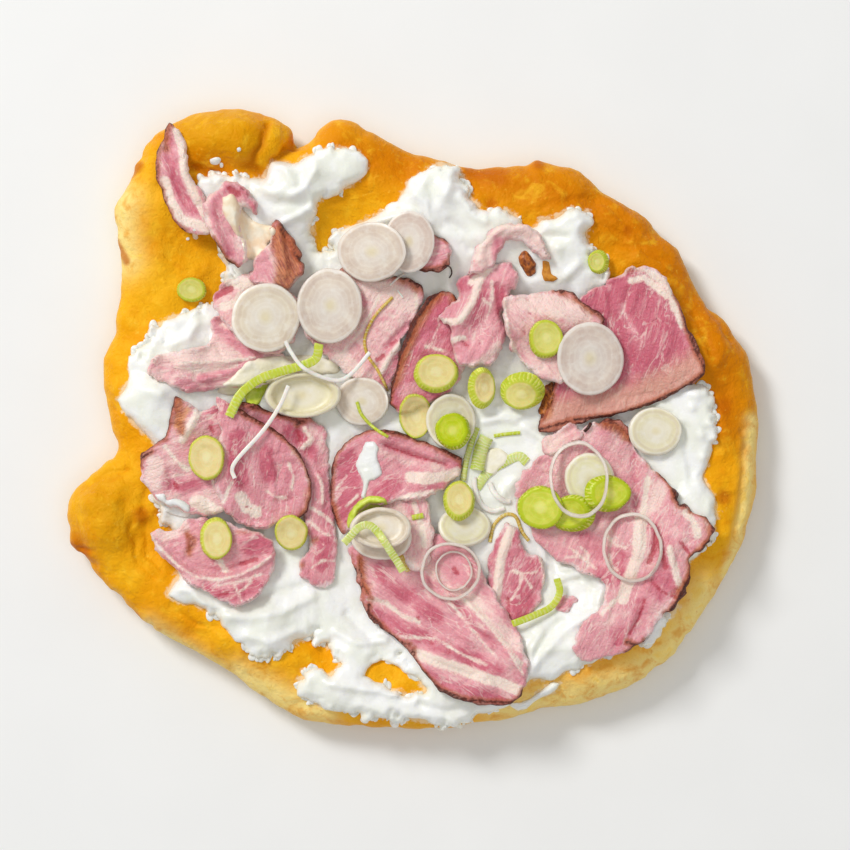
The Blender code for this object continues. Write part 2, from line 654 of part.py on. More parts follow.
def round_plan(middle, size, turn, shares, sides, hollow):
    """Rings of points for a slightly uneven round, with an open or a filled middle."""
    angles = np.arange(sides) * 2 * math.pi / sides
    uneven = 1 + 0.03 * np.cos(2 * angles + middle[0]) + 0.025 * np.cos(3 * angles + middle[1])
    half = np.array(size) / 2
    spin = math.radians(turn)
    matrix = np.array([[math.cos(spin), math.sin(spin)], [-math.sin(spin), math.cos(spin)]])
    circle = np.stack([np.cos(angles), np.sin(angles)], axis=1) * uneven[:, None]
    rings = [circle * (half - hollow * (1 - share)) if hollow else circle * half * share
             for share in shares]
    loops = [ring @ matrix + middle for ring in rings]
    faces = []
    for ring in range(len(rings) - 1):
        for side in range(sides):
            a, b = ring * sides + side, ring * sides + (side + 1) % sides
            faces += [(a, a + sides, b + sides), (a, b + sides, b)]
    points = np.vstack(loops)
    levels = np.repeat(np.arange(len(rings)), sides)
    return points, np.array(faces), levels


def filled_plan(middle, size, turn, shares, sides):
    """A round plan whose innermost ring closes on one point."""
    points, faces, levels = round_plan(middle, size, turn, shares[1:], sides, 0.0)
    hub = len(points)
    fan = [(hub, side, (side + 1) % sides) for side in range(sides)]
    return np.vstack([points, [middle]]), np.vstack([faces, fan]), np.append(levels + 1, 0)


def make_onion(name, kind, middle, size, turn, pile, materials):
    """A round slice, an open ring or a cupped layer of onion."""
    profile, height, sides, material = {
        "white": (ROUND_PROFILE, ROUND_THICKNESS, 18, materials["white"]),
        "green": (GREEN_PROFILE, GREEN_THICKNESS, 14, materials["green"]),
        "ring": (RING_PROFILE, RING_THICKNESS, 20, materials["white"]),
        "cup": (CUP_PROFILE, CUP_HEIGHT, 18, materials["white"]),
    }[kind]
    shares = [share for share, _ in profile]
    if kind == "ring":
        flat, faces, levels = round_plan(middle, size, turn, shares, sides, RING_BAND)
    else:
        flat, faces, levels = filled_plan(middle, size, turn, shares, sides)
    ground = pile.under(flat) + GAP
    draped = sag(ground, faces, SAG_PASSES)
    bottom = raised(ground, flat) * (1 - ROUND_BEND) + draped * ROUND_BEND
    heights = np.array([share for _, share in profile]) * height
    lay_piece(name, flat, faces, bottom, heights[levels], material, pile)


def make_curl(name, kind, width, route, pile, materials):
    line = smooth_route(route, 4.0)
    run = np.gradient(line, axis=0)
    side = np.stack([-run[:, 1], run[:, 0]], axis=1) / np.linalg.norm(run, axis=1)[:, None]
    count = len(line)
    taper = np.ones(count)
    taper[[0, -1]] = 0.6
    reach = side * (0.5 * width * taper)[:, None]
    flat = np.vstack([line + reach, line, line - reach])
    faces = []
    for row in range(2):
        for step in range(count - 1):
            a, b = row * count + step, (row + 1) * count + step
            faces += [(a, b, b + 1), (a, b + 1, a + 1)]
    faces = np.array(faces)
    bottom = sag(pile.under(flat) + GAP, faces, 3 * SAG_PASSES)
    thickness = CURL_THICKNESS * np.concatenate([np.full(count, 0.5), np.ones(count), np.full(count, 0.5)])
    lay_piece(name, flat, faces, bottom, thickness, materials[kind], pile)


def build():
    clear_scene()
    pile = Pile()
    make_bread(pile, crust_finish())
    cream = cream_finish()
    make_cream(pile, cream)
    for name, outline in CREAM_DABS.items():
        make_cream_dab(name, outline, pile, cream)
    ham = ham_finish()
    for name, slice_facts in HAM_SLICES.items():
        make_ham_slice(name, pile, ham, **slice_facts)
    onion = {"white": onion_finish(), "green": green_finish()}
    for name, (kind, middle, size, turn) in ONION_PIECES.items():
        make_onion(name, kind, np.array(middle, float), size, turn, pile, onion)
    for name, (kind, width, route) in CURLS.items():
        make_curl(name, kind, width, route, pile, onion)


build()
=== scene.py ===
# %% [markdown]
# # A fried flatbread with cream, smoked ham and onion
# This lesson dresses a packed model of one piece of street food: a puffed, golden flatbread, spread
# with sour cream, heaped with folded slices of smoked ham, and scattered with cut onion.
# The packed model gives every piece its place and height. Here each plain solid is replaced by a
# finer mesh of the same form with a finish of its own.

# %% Load the packed model
import math

import bmesh
import bpy
import numpy as np
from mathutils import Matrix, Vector
from mathutils.bvhtree import BVHTree


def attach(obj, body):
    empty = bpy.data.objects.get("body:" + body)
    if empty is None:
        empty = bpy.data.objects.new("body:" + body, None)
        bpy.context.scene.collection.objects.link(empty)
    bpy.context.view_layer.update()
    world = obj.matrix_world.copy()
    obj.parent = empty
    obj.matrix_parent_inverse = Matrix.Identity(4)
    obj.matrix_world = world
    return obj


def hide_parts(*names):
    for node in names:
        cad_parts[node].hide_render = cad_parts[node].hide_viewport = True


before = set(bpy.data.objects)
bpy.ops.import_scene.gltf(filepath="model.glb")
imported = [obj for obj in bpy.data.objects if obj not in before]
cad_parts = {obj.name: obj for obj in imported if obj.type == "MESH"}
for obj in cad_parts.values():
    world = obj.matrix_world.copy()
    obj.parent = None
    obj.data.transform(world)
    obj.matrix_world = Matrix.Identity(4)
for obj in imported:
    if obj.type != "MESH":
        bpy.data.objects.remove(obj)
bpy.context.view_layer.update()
MM = 0.001                   # m; every size below is in millimetres unless a comment says otherwise

# %% [markdown]
# ## Shader and geometry nodes as Python
# A node tree is easier to read as a formula than as a list of links. One small class wraps a socket
# and overloads the arithmetic, so that `1 - mask * 0.5` adds its own Math nodes. A second class
# holds a tree and adds any other node from its type, its settings and its inputs. Both serve
# materials and Geometry Nodes, because the two kinds of tree share the Math nodes.

# %% A socket that can be used in a formula
class Term:
    def __init__(self, graph, socket):
        self.graph = graph
        self.socket = socket

    def maths(self, operation, first, second=0.0):
        return self.graph.term("ShaderNodeMath", {"operation": operation}, {0: first, 1: second})

    def __add__(self, other):
        return self.maths("ADD", self, other)

    def __sub__(self, other):
        return self.maths("SUBTRACT", self, other)

    def __rsub__(self, other):
        return self.maths("SUBTRACT", other, self)

    def __mul__(self, other):
        return self.maths("MULTIPLY", self, other)

    def __truediv__(self, other):
        return self.maths("DIVIDE", self, other)

    def clamp(self):
        return self.maths("MINIMUM", self.maths("MAXIMUM", self, 0.0), 1.0)

    def fraction(self):
        return self.maths("FRACT", self)

    def size(self):
        return self.maths("ABSOLUTE", self)

    def sine(self):
        return self.maths("SINE", self)

    def cosine(self):
        return self.maths("COSINE", self)

    __radd__ = __add__
    __rmul__ = __mul__


print("a term can", sorted(name for name in vars(Term) if name.isalpha()))

# %% A tree that adds any node from its type, settings and inputs
class Graph:
    def __init__(self, tree):
        self.tree = tree

    def node(self, kind, settings=None, inputs=None):
        made = self.tree.nodes.new(kind)
        for name, value in (settings or {}).items():
            setattr(made, name, value)
        for key, value in (inputs or {}).items():
            if isinstance(value, Term):
                self.tree.links.new(value.socket, made.inputs[key])
            else:
                made.inputs[key].default_value = value
        return made

    def term(self, kind, settings=None, inputs=None, output=0):
        return Term(self, self.node(kind, settings, inputs).outputs[output])

    def vector_maths(self, operation, inputs):
        return self.term("ShaderNodeVectorMath", {"operation": operation}, inputs)

    def combine(self, x=0.0, y=0.0, z=0.0):
        return self.term("ShaderNodeCombineXYZ", {}, {0: x, 1: y, 2: z})

    def separate(self, vector):
        made = self.node("ShaderNodeSeparateXYZ", {}, {0: vector})
        return [Term(self, output) for output in made.outputs]


print("a graph can", sorted(name for name in vars(Graph) if name.isalpha()))

# %% [markdown]
# ## One class for every finish
# A finish is a Principled shader with a few constants on its own sockets and a few patterns that
# feed its colour, roughness and normal. Its colour is painted in layers, the way a cook sees the
# food: first the plain tone, then each mark over it. Patterns are laid out in millimetres, because a
# grain of half a millimetre is easier to think about than one of 0.0005 m.

# %% The finish class
def display(red, green, blue):
    """Linear colour with alpha, from a display colour of 0 to 255."""
    shares = [value / 255 for value in (red, green, blue)]
    return (*[s / 12.92 if s <= 0.04045 else ((s + 0.055) / 1.055) ** 2.4 for s in shares], 1.0)


class Finish(Graph):
    """A material. Every colour is a term, or red, green and blue from 0 to 255."""

    def __init__(self, name, base, **constants):
        self.material = bpy.data.materials.new(name)
        self.material.use_nodes = True
        super().__init__(self.material.node_tree)
        self.colour = base
        self.shader = self.tree.nodes["Principled BSDF"]
        for socket, value in constants.items():
            self.shader.inputs[socket.replace("_", " ")].default_value = value
        place = self.term("ShaderNodeTexCoord", {}, {}, "Object")
        self.place = self.vector_maths("SCALE", {0: place, "Scale": 1 / MM})

    def noise(self, size, detail=2.0, rough=0.5, warp=0.0, at=None):
        values = {"Vector": at or self.place, "Scale": 1.0 / size, "Detail": detail,
                  "Roughness": rough, "Distortion": warp}
        return self.term("ShaderNodeTexNoise", {}, values, "Fac")

    def attribute(self, name, output="Fac"):
        return self.term("ShaderNodeAttribute", {"attribute_name": name}, {}, output)

    def step(self, value, low, high):
        """0 where value is at low and 1 where it is at high, with a soft change between."""
        settings = {"interpolation_type": "SMOOTHSTEP"}
        return self.term("ShaderNodeMapRange", settings, {0: value, 1: low, 2: high, 3: 0.0, 4: 1.0})

    def mix(self, factor, *colours):
        """The first colour where the factor is 0 and the second where it is 1."""
        first, second = [colour if isinstance(colour, Term) else display(*colour) for colour in colours]
        return self.term("ShaderNodeMix", {"data_type": "RGBA"}, {0: factor, 6: first, 7: second}, 2)

    def paint(self, factor, colour):
        """Lay a colour over what is painted so far, as densely as the factor says."""
        self.colour = self.mix(factor, self.colour, colour)

    def bump(self, height, depth, normal=None):
        """A normal from a height of 0 to 1 that stands for a real depth in millimetres."""
        values = {"Height": height, "Distance": depth * MM}
        if normal:
            values["Normal"] = normal
        return self.term("ShaderNodeBump", {}, values)

    def feed(self, **terms):
        """Link the painted colour and the other terms to the shader, and return the material."""
        for name, value in {"Base Color": self.colour, **terms}.items():
            self.tree.links.new(value.socket, self.shader.inputs[name])
        return self.material


print("finish class ready")

# %% [markdown]
# ## Camera, light and floor
# The photograph looks straight down on the food, in soft, bright light with only faint shadows. A
# long lens from above gives the same view with little perspective, so that the tall rim and the flat
# middle keep their places. A lamp at the upper left gives form. A larger and weaker one overhead and
# a white room soften its shadows.

# %% Place the camera
FRAME_WIDTH = 306.0          # mm across the picture at the height of the food
FRAME_CENTRE = (4.78, -2.01)
FOCUS_HEIGHT = 15.0
LENS = 120.0
SENSOR = 36.0
FARTHEST = 20.0              # m, beyond which the camera sees nothing

camera_data = bpy.data.cameras.new("camera")
camera_data.lens = LENS
camera_data.sensor_width = SENSOR
camera_data.clip_end = FARTHEST
camera = bpy.data.objects.new("camera", camera_data)
camera_height = FOCUS_HEIGHT + FRAME_WIDTH * LENS / SENSOR
camera.location = [value * MM for value in (*FRAME_CENTRE, camera_height)]
bpy.context.scene.collection.objects.link(camera)
bpy.context.scene.camera = camera
bpy.context.scene.view_settings.view_transform = "Standard"
print("camera height in mm", round(camera_height))

# %% Light it softly
WHITE = (1.0, 1.0, 1.0, 1.0)
ROOM_LIGHT = 0.40


def lamp(name, place, size, power):
    """A square lamp that faces the food, placed and measured in metres."""
    data = bpy.data.lights.new(name, "AREA")
    data.shape = "SQUARE"
    data.size = size
    data.energy = power
    item = bpy.data.objects.new(name, data)
    item.location = place
    item.rotation_euler = (-Vector(place)).to_track_quat("-Z", "Y").to_euler()
    bpy.context.scene.collection.objects.link(item)


lamp("lamp_upper_left", (-1.35, 1.45, 1.75), size=0.7, power=44.0)
lamp("lamp_above", (0.3, -0.4, 2.4), size=2.2, power=12.0)

world = bpy.data.worlds.new("soft_room")
world.use_nodes = True
bpy.context.scene.world = world
world.node_tree.nodes["Background"].inputs["Color"].default_value = WHITE
world.node_tree.nodes["Background"].inputs["Strength"].default_value = ROOM_LIGHT

# %% Lay the floor
FLOOR_REACH = 3.0            # m from the middle to each side
FLOOR_GAP = 0.2              # mm below the food, so that the two flat sides don't flicker

floor_corners = [(right * FLOOR_REACH, back * FLOOR_REACH, 0)
                 for right, back in ((-1, -1), (1, -1), (1, 1), (-1, 1))]
floor_mesh = bpy.data.meshes.new("floor")
floor_mesh.from_pydata(floor_corners, [], [(0, 1, 2, 3)])
floor = bpy.data.objects.new("floor", floor_mesh)
floor.location.z = -FLOOR_GAP * MM
bpy.context.scene.collection.objects.link(floor)
floor_finish = Finish("pale_floor", (240, 240, 238), Roughness=0.7)
floor_finish.paint(floor_finish.noise(40.0), (245, 245, 243))
floor_mesh.materials.append(floor_finish.feed())
print("floor reaches", FLOOR_REACH, "m to each side")

# %% [markdown]
# ## Reading a packed solid
# Each solid of the packed model knows its outline and the height of its upper and lower side. A tree
# of its triangles answers a ray shot down or up, and its upright walls give the outline. Everything
# below is built on these answers, so a finer mesh always lies where the solid lies.

# %% Soft noise and distances on a flat plane
FAR = 40.0                   # mm, the distance to a mark where a piece has none
LATTICE = 64                 # random values along each side, after which the noise repeats


def soft_noise(x, y, size, seed):
    """Smooth random values from -1 to 1 that change over a given size in millimetres."""
    lattice = np.random.default_rng(seed).uniform(-1.0, 1.0, (LATTICE, LATTICE))
    u, v = x / size + 17.3, y / size + 9.1
    column, row = np.floor(u).astype(int), np.floor(v).astype(int)
    across, along = u - column, v - row
    across, along = across * across * (3 - 2 * across), along * along * (3 - 2 * along)
    corners = [lattice[(row + down) % LATTICE, (column + right) % LATTICE]
               for down in (0, 1) for right in (0, 1)]
    upper = corners[0] * (1 - across) + corners[1] * across
    lower = corners[2] * (1 - across) + corners[3] * across
    return upper * (1 - along) + lower * along


def layered_noise(x, y, layers):
    """A sum of soft noises, each given by its rise, its size in millimetres and its seed."""
    return sum(rise * soft_noise(x, y, size, seed) for rise, size, seed in layers)


def seed_of(name):
    """A fixed seed that differs from name to name."""
    return sum(map(ord, name))


def distance_to_route(x, y, route):
    """Distance in millimetres from each point to an open line, or to a single spot."""
    best = np.full(np.shape(x), 1e9)
    for (x0, y0), (x1, y1) in zip(route, route[1:] or route):
        run_x, run_y = x1 - x0, y1 - y0
        length = max(run_x * run_x + run_y * run_y, 1e-9)
        share = np.clip(((x - x0) * run_x + (y - y0) * run_y) / length, 0.0, 1.0)
        best = np.minimum(best, np.hypot(x - x0 - share * run_x, y - y0 - share * run_y))
    return best


def read_marks(text):
    """Read 'fat 0.8 x,y x,y; 0.5 x,y': a kind, then a half width and a route for each of its marks."""
    marks = {}
    for word in text.replace(";", " ").split():
        if word.isalpha():
            found = marks.setdefault(word, [])
        elif "," in word:
            found[-1][0].append(tuple(float(value) for value in word.split(",")))
        else:
            found.append(([], float(word)))
    return marks


def reach_of(x, y, marks, kind):
    """Signed distance to the nearest mark of a kind: negative inside its half width."""
    best = np.full(np.shape(x), FAR)
    for route, half in marks.get(kind, ()):
        best = np.minimum(best, distance_to_route(x, y, route) - half)
    return best


def hump_of(x, y, marks, kind, softness):
    """1 on each mark of a kind, falling softly to 0 beyond its half width."""
    best = np.zeros(np.shape(x))
    for route, half in marks.get(kind, ()):
        far = distance_to_route(x, y, route) / (half + softness)
        best = np.maximum(best, np.exp(-far ** 2))
    return best


def marked_relief(x, y, marks, rises):
    """Relief left by marks, whose kinds each have a rise in millimetres and a softness."""
    return sum(rise * hump_of(x, y, marks, kind, softness) for kind, (rise, softness) in rises.items())


print("noise every 5 mm", soft_noise(np.arange(0, 25, 5), np.zeros(5), size=10.0, seed=1).round(2))

# %% A solid's triangles, heights and outline
ABOVE = 100.0                # mm, higher than any of the food
UPRIGHT = 0.003              # the most that an upright wall's normal points up or down


class Solid:
    """One node of the packed model, measured in millimetres."""

    def __init__(self, name):
        self.name = name
        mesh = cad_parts[name].data
        points = np.empty(len(mesh.vertices) * 3, np.float32)
        mesh.vertices.foreach_get("co", points)
        self.points = points.reshape(-1, 3).astype(float) / MM
        mesh.calc_loop_triangles()
        faces = np.empty(len(mesh.loop_triangles) * 3, np.int32)
        mesh.loop_triangles.foreach_get("vertices", faces)
        self.faces = faces.reshape(-1, 3)
        self.tree = BVHTree.FromPolygons(self.points.tolist(), self.faces.tolist())

    def height(self, x, y, upper):
        """Height of the upper or lower side at each point, or of the nearest part of the solid."""
        start, way = (ABOVE, Vector((0, 0, -1))) if upper else (-ABOVE, Vector((0, 0, 1)))
        found = np.empty(len(x))
        for number, (px, py) in enumerate(zip(x, y)):
            hit = self.tree.ray_cast(Vector((px, py, start)), way)[0]
            if hit is None:
                hit = self.tree.find_nearest(Vector((px, py, 0.5 * ABOVE if upper else 0.0)))[0]
            found[number] = hit.z
        return found

    def outline(self):
        """Stretches of the outline seen from above, taken from the upright walls."""
        corner = self.points[self.faces]
        normal = np.cross(corner[:, 1] - corner[:, 0], corner[:, 2] - corner[:, 0])
        normal /= np.maximum(np.linalg.norm(normal, axis=1), 1e-9)[:, None]
        stretches = set()
        for wall in corner[np.abs(normal[:, 2]) < UPRIGHT]:
            ends = sorted({tuple(np.round(point[:2], 2)) for point in wall})
            if len(ends) == 2:
                stretches.add(tuple(ends))
        return np.array(sorted(stretches))


def depth_inside(x, y, stretches):
    """Distance to an outline, positive inside and negative outside."""
    best = np.full(x.shape, 1e9)
    crossings = np.zeros(x.shape, int)
    for (x0, y0), (x1, y1) in stretches:
        best = np.minimum(best, distance_to_route(x, y, [(x0, y0), (x1, y1)]))
        if y0 != y1:
            spans = (y0 > y) != (y1 > y)
            crossings += spans & (x < x0 + (y - y0) * (x1 - x0) / (y1 - y0))
    return np.where(crossings % 2 == 1, best, -best)


print("cream outline stretches", len(Solid("cream").outline()))

# %% [markdown]
# ## A fine sheet over a plain solid
# Cream and ham are sheets: wide, thin, and lying on what is below. A sheet is made on a square grid
# over the solid. Cells inside the outline are kept, and the points on their border are pulled onto
# the outline, which may first be roughened. The solid gives the heights, blurred a little because
# its facets are large, and then each piece adds its own relief.

# %% Make a fine sheet
GRID_MARGIN = 4              # cells of the grid outside the outline
LONGEST_PULL = 0.7           # share of a cell that a border point may move each way
BLUR_PASSES = 2


def blur(values, mask):
    """Average each grid value with its neighbours inside the mask."""
    for _ in range(BLUR_PASSES):
        total = np.zeros_like(values)
        count = np.zeros_like(values)
        for down in (-1, 0, 1):
            for right in (-1, 0, 1):
                total += np.roll(values * mask, (down, right), (0, 1))
                count += np.roll(mask.astype(float), (down, right), (0, 1))
        values = np.where(mask, total / np.maximum(count, 1), values)
    return values


def closed_faces(kept, used):
    """Faces over and under every kept cell of a grid, and walls between the two along their border."""
    count = int(used.sum())
    number = -np.ones(used.shape, int)
    number[used] = np.arange(count)
    rows, columns = np.nonzero(kept)
    quads = np.stack([number[rows, columns], number[rows, columns + 1],
                      number[rows + 1, columns + 1], number[rows + 1, columns]], axis=1).tolist()
    sides = {side for quad in quads for side in zip(quad, quad[1:] + quad[:1])}
    walls = [(a, a + count, b + count, b) for a, b in sides if (b, a) not in sides]
    faces = [tuple(quad) for quad in quads]
    faces += [tuple(point + count for point in reversed(quad)) for quad in quads]
    return faces + walls


def fine_sheet(solid, step, ragged, shape_top):
    """Points, faces and depths of a closed sheet. shape_top turns places and heights into both sides."""
    stretches = solid.outline()
    low = stretches.reshape(-1, 2).min(axis=0) - GRID_MARGIN * step
    high = stretches.reshape(-1, 2).max(axis=0) + GRID_MARGIN * step
    x, y = np.meshgrid(np.arange(low[0], high[0], step), np.arange(low[1], high[1], step))
    depth = depth_inside(x, y, stretches) + ragged(x, y)
    kept = 0.25 * (depth[:-1, :-1] + depth[1:, :-1] + depth[:-1, 1:] + depth[1:, 1:]) > 0
    used = np.zeros(x.shape, bool)
    full = np.ones(x.shape, bool)
    for down in (0, 1):
        for right in (0, 1):
            view = (slice(down, down + kept.shape[0]), slice(right, right + kept.shape[1]))
            used[view] |= kept
            full[view] &= kept
    border = used & ~full
    slope_y, slope_x = np.gradient(depth, step)
    steep = np.maximum(slope_x ** 2 + slope_y ** 2, 0.3)
    limit = LONGEST_PULL * step
    x = x - np.where(border, np.clip(depth * slope_x / steep, -limit, limit), 0.0)
    y = y - np.where(border, np.clip(depth * slope_y / steep, -limit, limit), 0.0)
    depth = np.where(border, 0.0, np.maximum(depth, 0.0))
    sides = []
    for upper in (True, False):
        height = np.zeros(x.shape)
        height[used] = solid.height(x[used], y[used], upper)
        sides.append(blur(height, used)[used])
    x, y, depth = x[used], y[used], depth[used]
    points = np.vstack([np.column_stack([x, y, z]) for z in shape_top(x, y, depth, *sides)])
    return points, closed_faces(kept, used), np.concatenate([depth, depth])


print("faces round a single cell", len(closed_faces(np.ones((1, 1), bool), np.ones((2, 2), bool))))

# %% Make and read a mesh
def make_piece(name, points, faces, material, slot, values=None, sharp=55):
    """A mesh object from millimetre points, with named values on its points."""
    mesh = bpy.data.meshes.new(name)
    mesh.from_pydata((np.asarray(points) * MM).tolist(), [], faces)
    for key, value in (values or {}).items():
        value = np.asarray(value, np.float32)
        kind, field = ("FLOAT_VECTOR", "vector") if value.ndim == 2 else ("FLOAT", "value")
        mesh.attributes.new(key, kind, "POINT").data.foreach_set(field, value.ravel())
    mesh.shade_smooth()
    mesh.set_sharp_from_angle(angle=math.radians(sharp))
    mesh.materials.append(material)
    mesh.validate()
    piece = bpy.data.objects.new(name, mesh)
    bpy.context.scene.collection.objects.link(piece)
    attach(piece, "root")
    return piece


def read_mesh(mesh):
    """A mesh's points in millimetres, and its faces."""
    points = np.array([tuple(point.co) for point in mesh.vertices]) / MM
    return points, [tuple(face.vertices) for face in mesh.polygons]


def read_values(mesh, name):
    """The values that a tree has stored on a mesh's points."""
    values = np.empty(len(mesh.vertices), np.float32)
    mesh.attributes[name].data.foreach_get("value", values)
    return values


def ray_tree(pieces):
    """One ray tree of several finished pieces, in millimetres."""
    points, faces = [], []
    for piece in pieces:
        start = len(points)
        piece_points, piece_faces = read_mesh(piece.data)
        points += piece_points.tolist()
        faces += [tuple(start + corner for corner in face) for face in piece_faces]
    return BVHTree.FromPolygons(points, faces)


print("sheet maker ready")

# %% [markdown]
# ## The fried crust
# Dough fried in hot oil puffs up, blisters and browns unevenly: honey yellow on the flats, orange on the
# high rim, pale along the waist that the oil reached last. The solid is smoothed by a Subdivision Surface,
# then pushed in and out along its normals: broad swellings, small blisters scattered from a fixed seed, and
# short wrinkles. Marks say where the crust is brown, creased or pale, and its colour and its form both
# follow them; some of them paint shade into the colour and one paints light, as noted above the marks.

# %% Where the crust is browned, creased or pale
# Painted shade: every crease mark darkens the colour as well as the form, and so do the orange mark from
# -78,93.4 to -70.8,89.8 and the olive mark from -58.2,91.1 to -51,88 under the top-left lobe.
# Painted shade: the brown mark from 22,89.5 to 32,87, near the top rim.
# The pale mark from -66,-94 to -94,-75.5 is partly the pale waist and partly painted light on the lower
# left rim, where it turns away from the lamp.
BREAD_MARKS = """
    crease 0.5 -78.9,91.1 -74.4,89.3 -70.4,87.8; 1.1 -58.7,91.1 -54.6,88.7 -51,87.7;
        0.4 -52.1,106 -54.1,98.8 -58.2,91.6; 0.5 -42.2,98.8 -46.5,95.2 -50.1,92.9
    line 0.2 -116,-22.8 -110.7,-20.1 -103.1,-18.5; 0.3 -101.2,-34.9 -100.7,-42.4 -98,-51.9 -91.7,-57.2;
        0.2 -95.9,-38.1 -94.9,-47.6 -89.6,-55.1; 0.3 -120.3,-49.8 -115,-52.9;
        0.3 -119.2,-46.8 -113.9,-47.6; 0.2 -94.9,-25.4 -95.9,-33.9;
        0.4 -107.6,-62.5 -102.3,-69.9 -94.9,-75.2; 0.2 -86.4,-66.7 -76.9,-73.1 -67.3,-75.2;
        0.4 47.3,76.4 57.4,79.2 68.7,78.1 77.7,70.2 80.8,68.5; 0.2 66.4,70.2 73.2,66.8 77.7,65.7;
        0.3 86.7,72.5 90.3,66.8 95.7,63.5; 0.2 73.2,63.5 82.2,62.3 88.9,57.8;
        0.3 105.2,46.6 109.2,37.6 114.8,28.6; 0.2 102.4,37.6 105.8,28.6 109.2,21.8;
        0.4 100.2,-77.6 96.8,-84.8 87,-92.6; 0.4 119.5,-4.7 119.5,-18.2 118.2,-32.6 115.5,-45.2
    brown 1.4 20.9,90.7; 2.4 22,89.5 32,87; 1.5 28.7,77.5; 1.2 45.6,91.4; 2.6 112,5; 2.2 112.3,4.3;
        2.2 111.9,-28.1; 2.2 -97.5,-34.4; 2.4 -121.3,-46.1 -118.7,-48.2; 2 -89.6,-33.4; 2 -42.2,101.5;
        0.8 77.7,68; 1.2 -100.1,-72; 1 -102.3,88.9 -98.7,91.4; 0.8 -106.8,63.7 -103.2,57.4;
        1.5 -58.9,-81.5
    orange 7 22.6,88.2 43.9,83.7 60.8,78.1 77.7,71.3 91.2,57.8 100.2,46.6 106.9,33.1 111.4,19.6 111.4,5;
        1.5 112,8.8 112.5,-2; 1.5 -78,93.4 -70.8,89.8; 0.5 -122.4,-44.5 -120,-49;
        4 -24,95.2 -11.4,93.4 0.3,90.7
    pale -1.5 122.4,-0.2 121.9,-16.4 120.6,-29 117.6,-43.4 112.8,-56;
        4 106,-63 101.4,-72.2 94.2,-83 79.8,-92.6 63,-98.6 46.2,-101.6 31.8,-103.4;
        1.5 -31.3,-105.9 -46.1,-100.6 -62,-92; 0.5 -66,-94 -80,-85 -94,-75.5;
        2.5 -103.2,79 -105,70 -103.2,57.4
    olive 5 -78.9,103.3 -67.2,105.1 -58.2,99.7; 1.2 -58.2,91.1 -51,88; 6 -110.7,-27.5 -105.4,-39.2
    knob 3.4 -49.7,101.5; 1.8 -44.3,103.3; 2.4 -97.5,-34.4; 6 -110.2,-42.4; 4 -89,-52.9; 1.6 45.6,91.8;
        5 -70.8,100.6 -61.8,100.6; 3.5 73.2,74.7 78.8,70.2; 3.5 -113.9,-28.6; 1.8 -121.9,-44.5
    pit 2.6 112.3,4.3; 2.4 111.9,-28.1; 2 28.7,77.5; 1.4 -97.8,94.7; 2.5 112,5"""
TINT_SOFTNESS = {"brown": 1.5, "orange": 7.0, "olive": 4.0, "pale": 4.0}     # mm
CRUST_RISES = {"knob": (1.4, 1.5), "pit": (-1.0, 1.0)}
WRINKLE_RISES = {"line": (-0.9, 0.9), "crease": (-2.0, 0.9)}
WRINKLE_WANDER = 1.1         # mm that wrinkles stray from their routes
SWELLINGS = ((0.75, 13.0, 1), (0.45, 6.0, 2), (0.22, 3.2, 3), (0.1, 1.7, 4))
BLISTER_COUNT = 220
BLISTER_RISE = 0.4
BLISTER_REACH = (1.8, 4.5)
BLISTER_SEED = 4
BREAD_HALF = 125             # mm from the middle to the farthest rim
STUCK_HEIGHT = 4.0           # mm above the flat underside, below which the crust swells less
WAIST_HEIGHT = 13.0
WAIST_FADE = 6.0
CREAM_NAMES = ("cream", "cream_dab_low", "cream_dab_side")
print("marks on the crust", {kind: len(found) for kind, found in read_marks(BREAD_MARKS).items()})


def crust_finish():
    finish = Finish("fried_crust", (240, 160, 6), Specular_IOR_Level=0.22,
                    Specular_Tint=(1.0, 0.72, 0.3, 1.0))
    broad = finish.noise(24.0, 3.0, 0.55)
    patch = finish.noise(6.5, 4.0, 0.62, 0.5)
    fleck = finish.noise(2.0, 4.0, 0.65, 0.3)
    grainy = finish.noise(0.6, 2.0, 0.6)
    finish.paint(finish.step(broad, 0.36, 0.66), (246, 178, 22))
    # Orange on the high rim; the orange mark under the top-left lobe is painted shade.
    finish.paint(finish.attribute("orange"), (215, 123, 0))
    # Olive gold; the olive mark under the top-left lobe is painted shade.
    finish.paint(finish.attribute("olive") * 0.7, (214, 146, 2))
    finish.paint(finish.attribute("waist") * 0.8, (248, 190, 40))
    # Pale crust along the waist; at the lower left rim also painted light.
    finish.paint(finish.attribute("pale") * (0.65 + 0.35 * finish.step(patch, 0.35, 0.6)), (255, 230, 146))
    finish.paint(finish.step(patch, 0.5, 0.74) * 0.55, (254, 198, 44))
    finish.paint(finish.step(patch, 0.48, 0.26) * 0.55, (226, 138, 0))
    # Brown spots, with one brown mark of painted shade near the top rim.
    brown_and_shade = finish.attribute("brown") + (fleck - 0.5) * 0.6
    finish.paint(finish.step(brown_and_shade, 0.2, 0.95) * 0.8, (196, 100, 0))
    # Painted shade in every crease, which is also cut into the form.
    finish.paint(finish.attribute("crease") * 0.7, (184, 98, 0))
    finish.paint(finish.step(fleck, 0.6, 0.76) * 0.5, (255, 206, 70))
    finish.paint(finish.step(fleck, 0.4, 0.26) * 0.45, (208, 118, 0))
    finish.paint(finish.step(grainy, 0.62, 0.8) * 0.2, (186, 104, 0))
    to_cream = finish.attribute("near_cream") + (fleck - 0.5) * 5.0 + (patch - 0.5) * 6.0
    finish.paint(finish.step(to_cream, 0.6, -0.8) * 0.6, (246, 232, 200))
    rough = 0.36 + finish.noise(9.0, 3.0) * 0.2
    normal = finish.bump(finish.noise(3.6, 4.0, 0.6, 0.3), 0.8)
    normal = finish.bump(finish.noise(0.9, 3.0, 0.6), 0.2, normal)
    return finish.feed(Roughness=rough, Normal=normal)


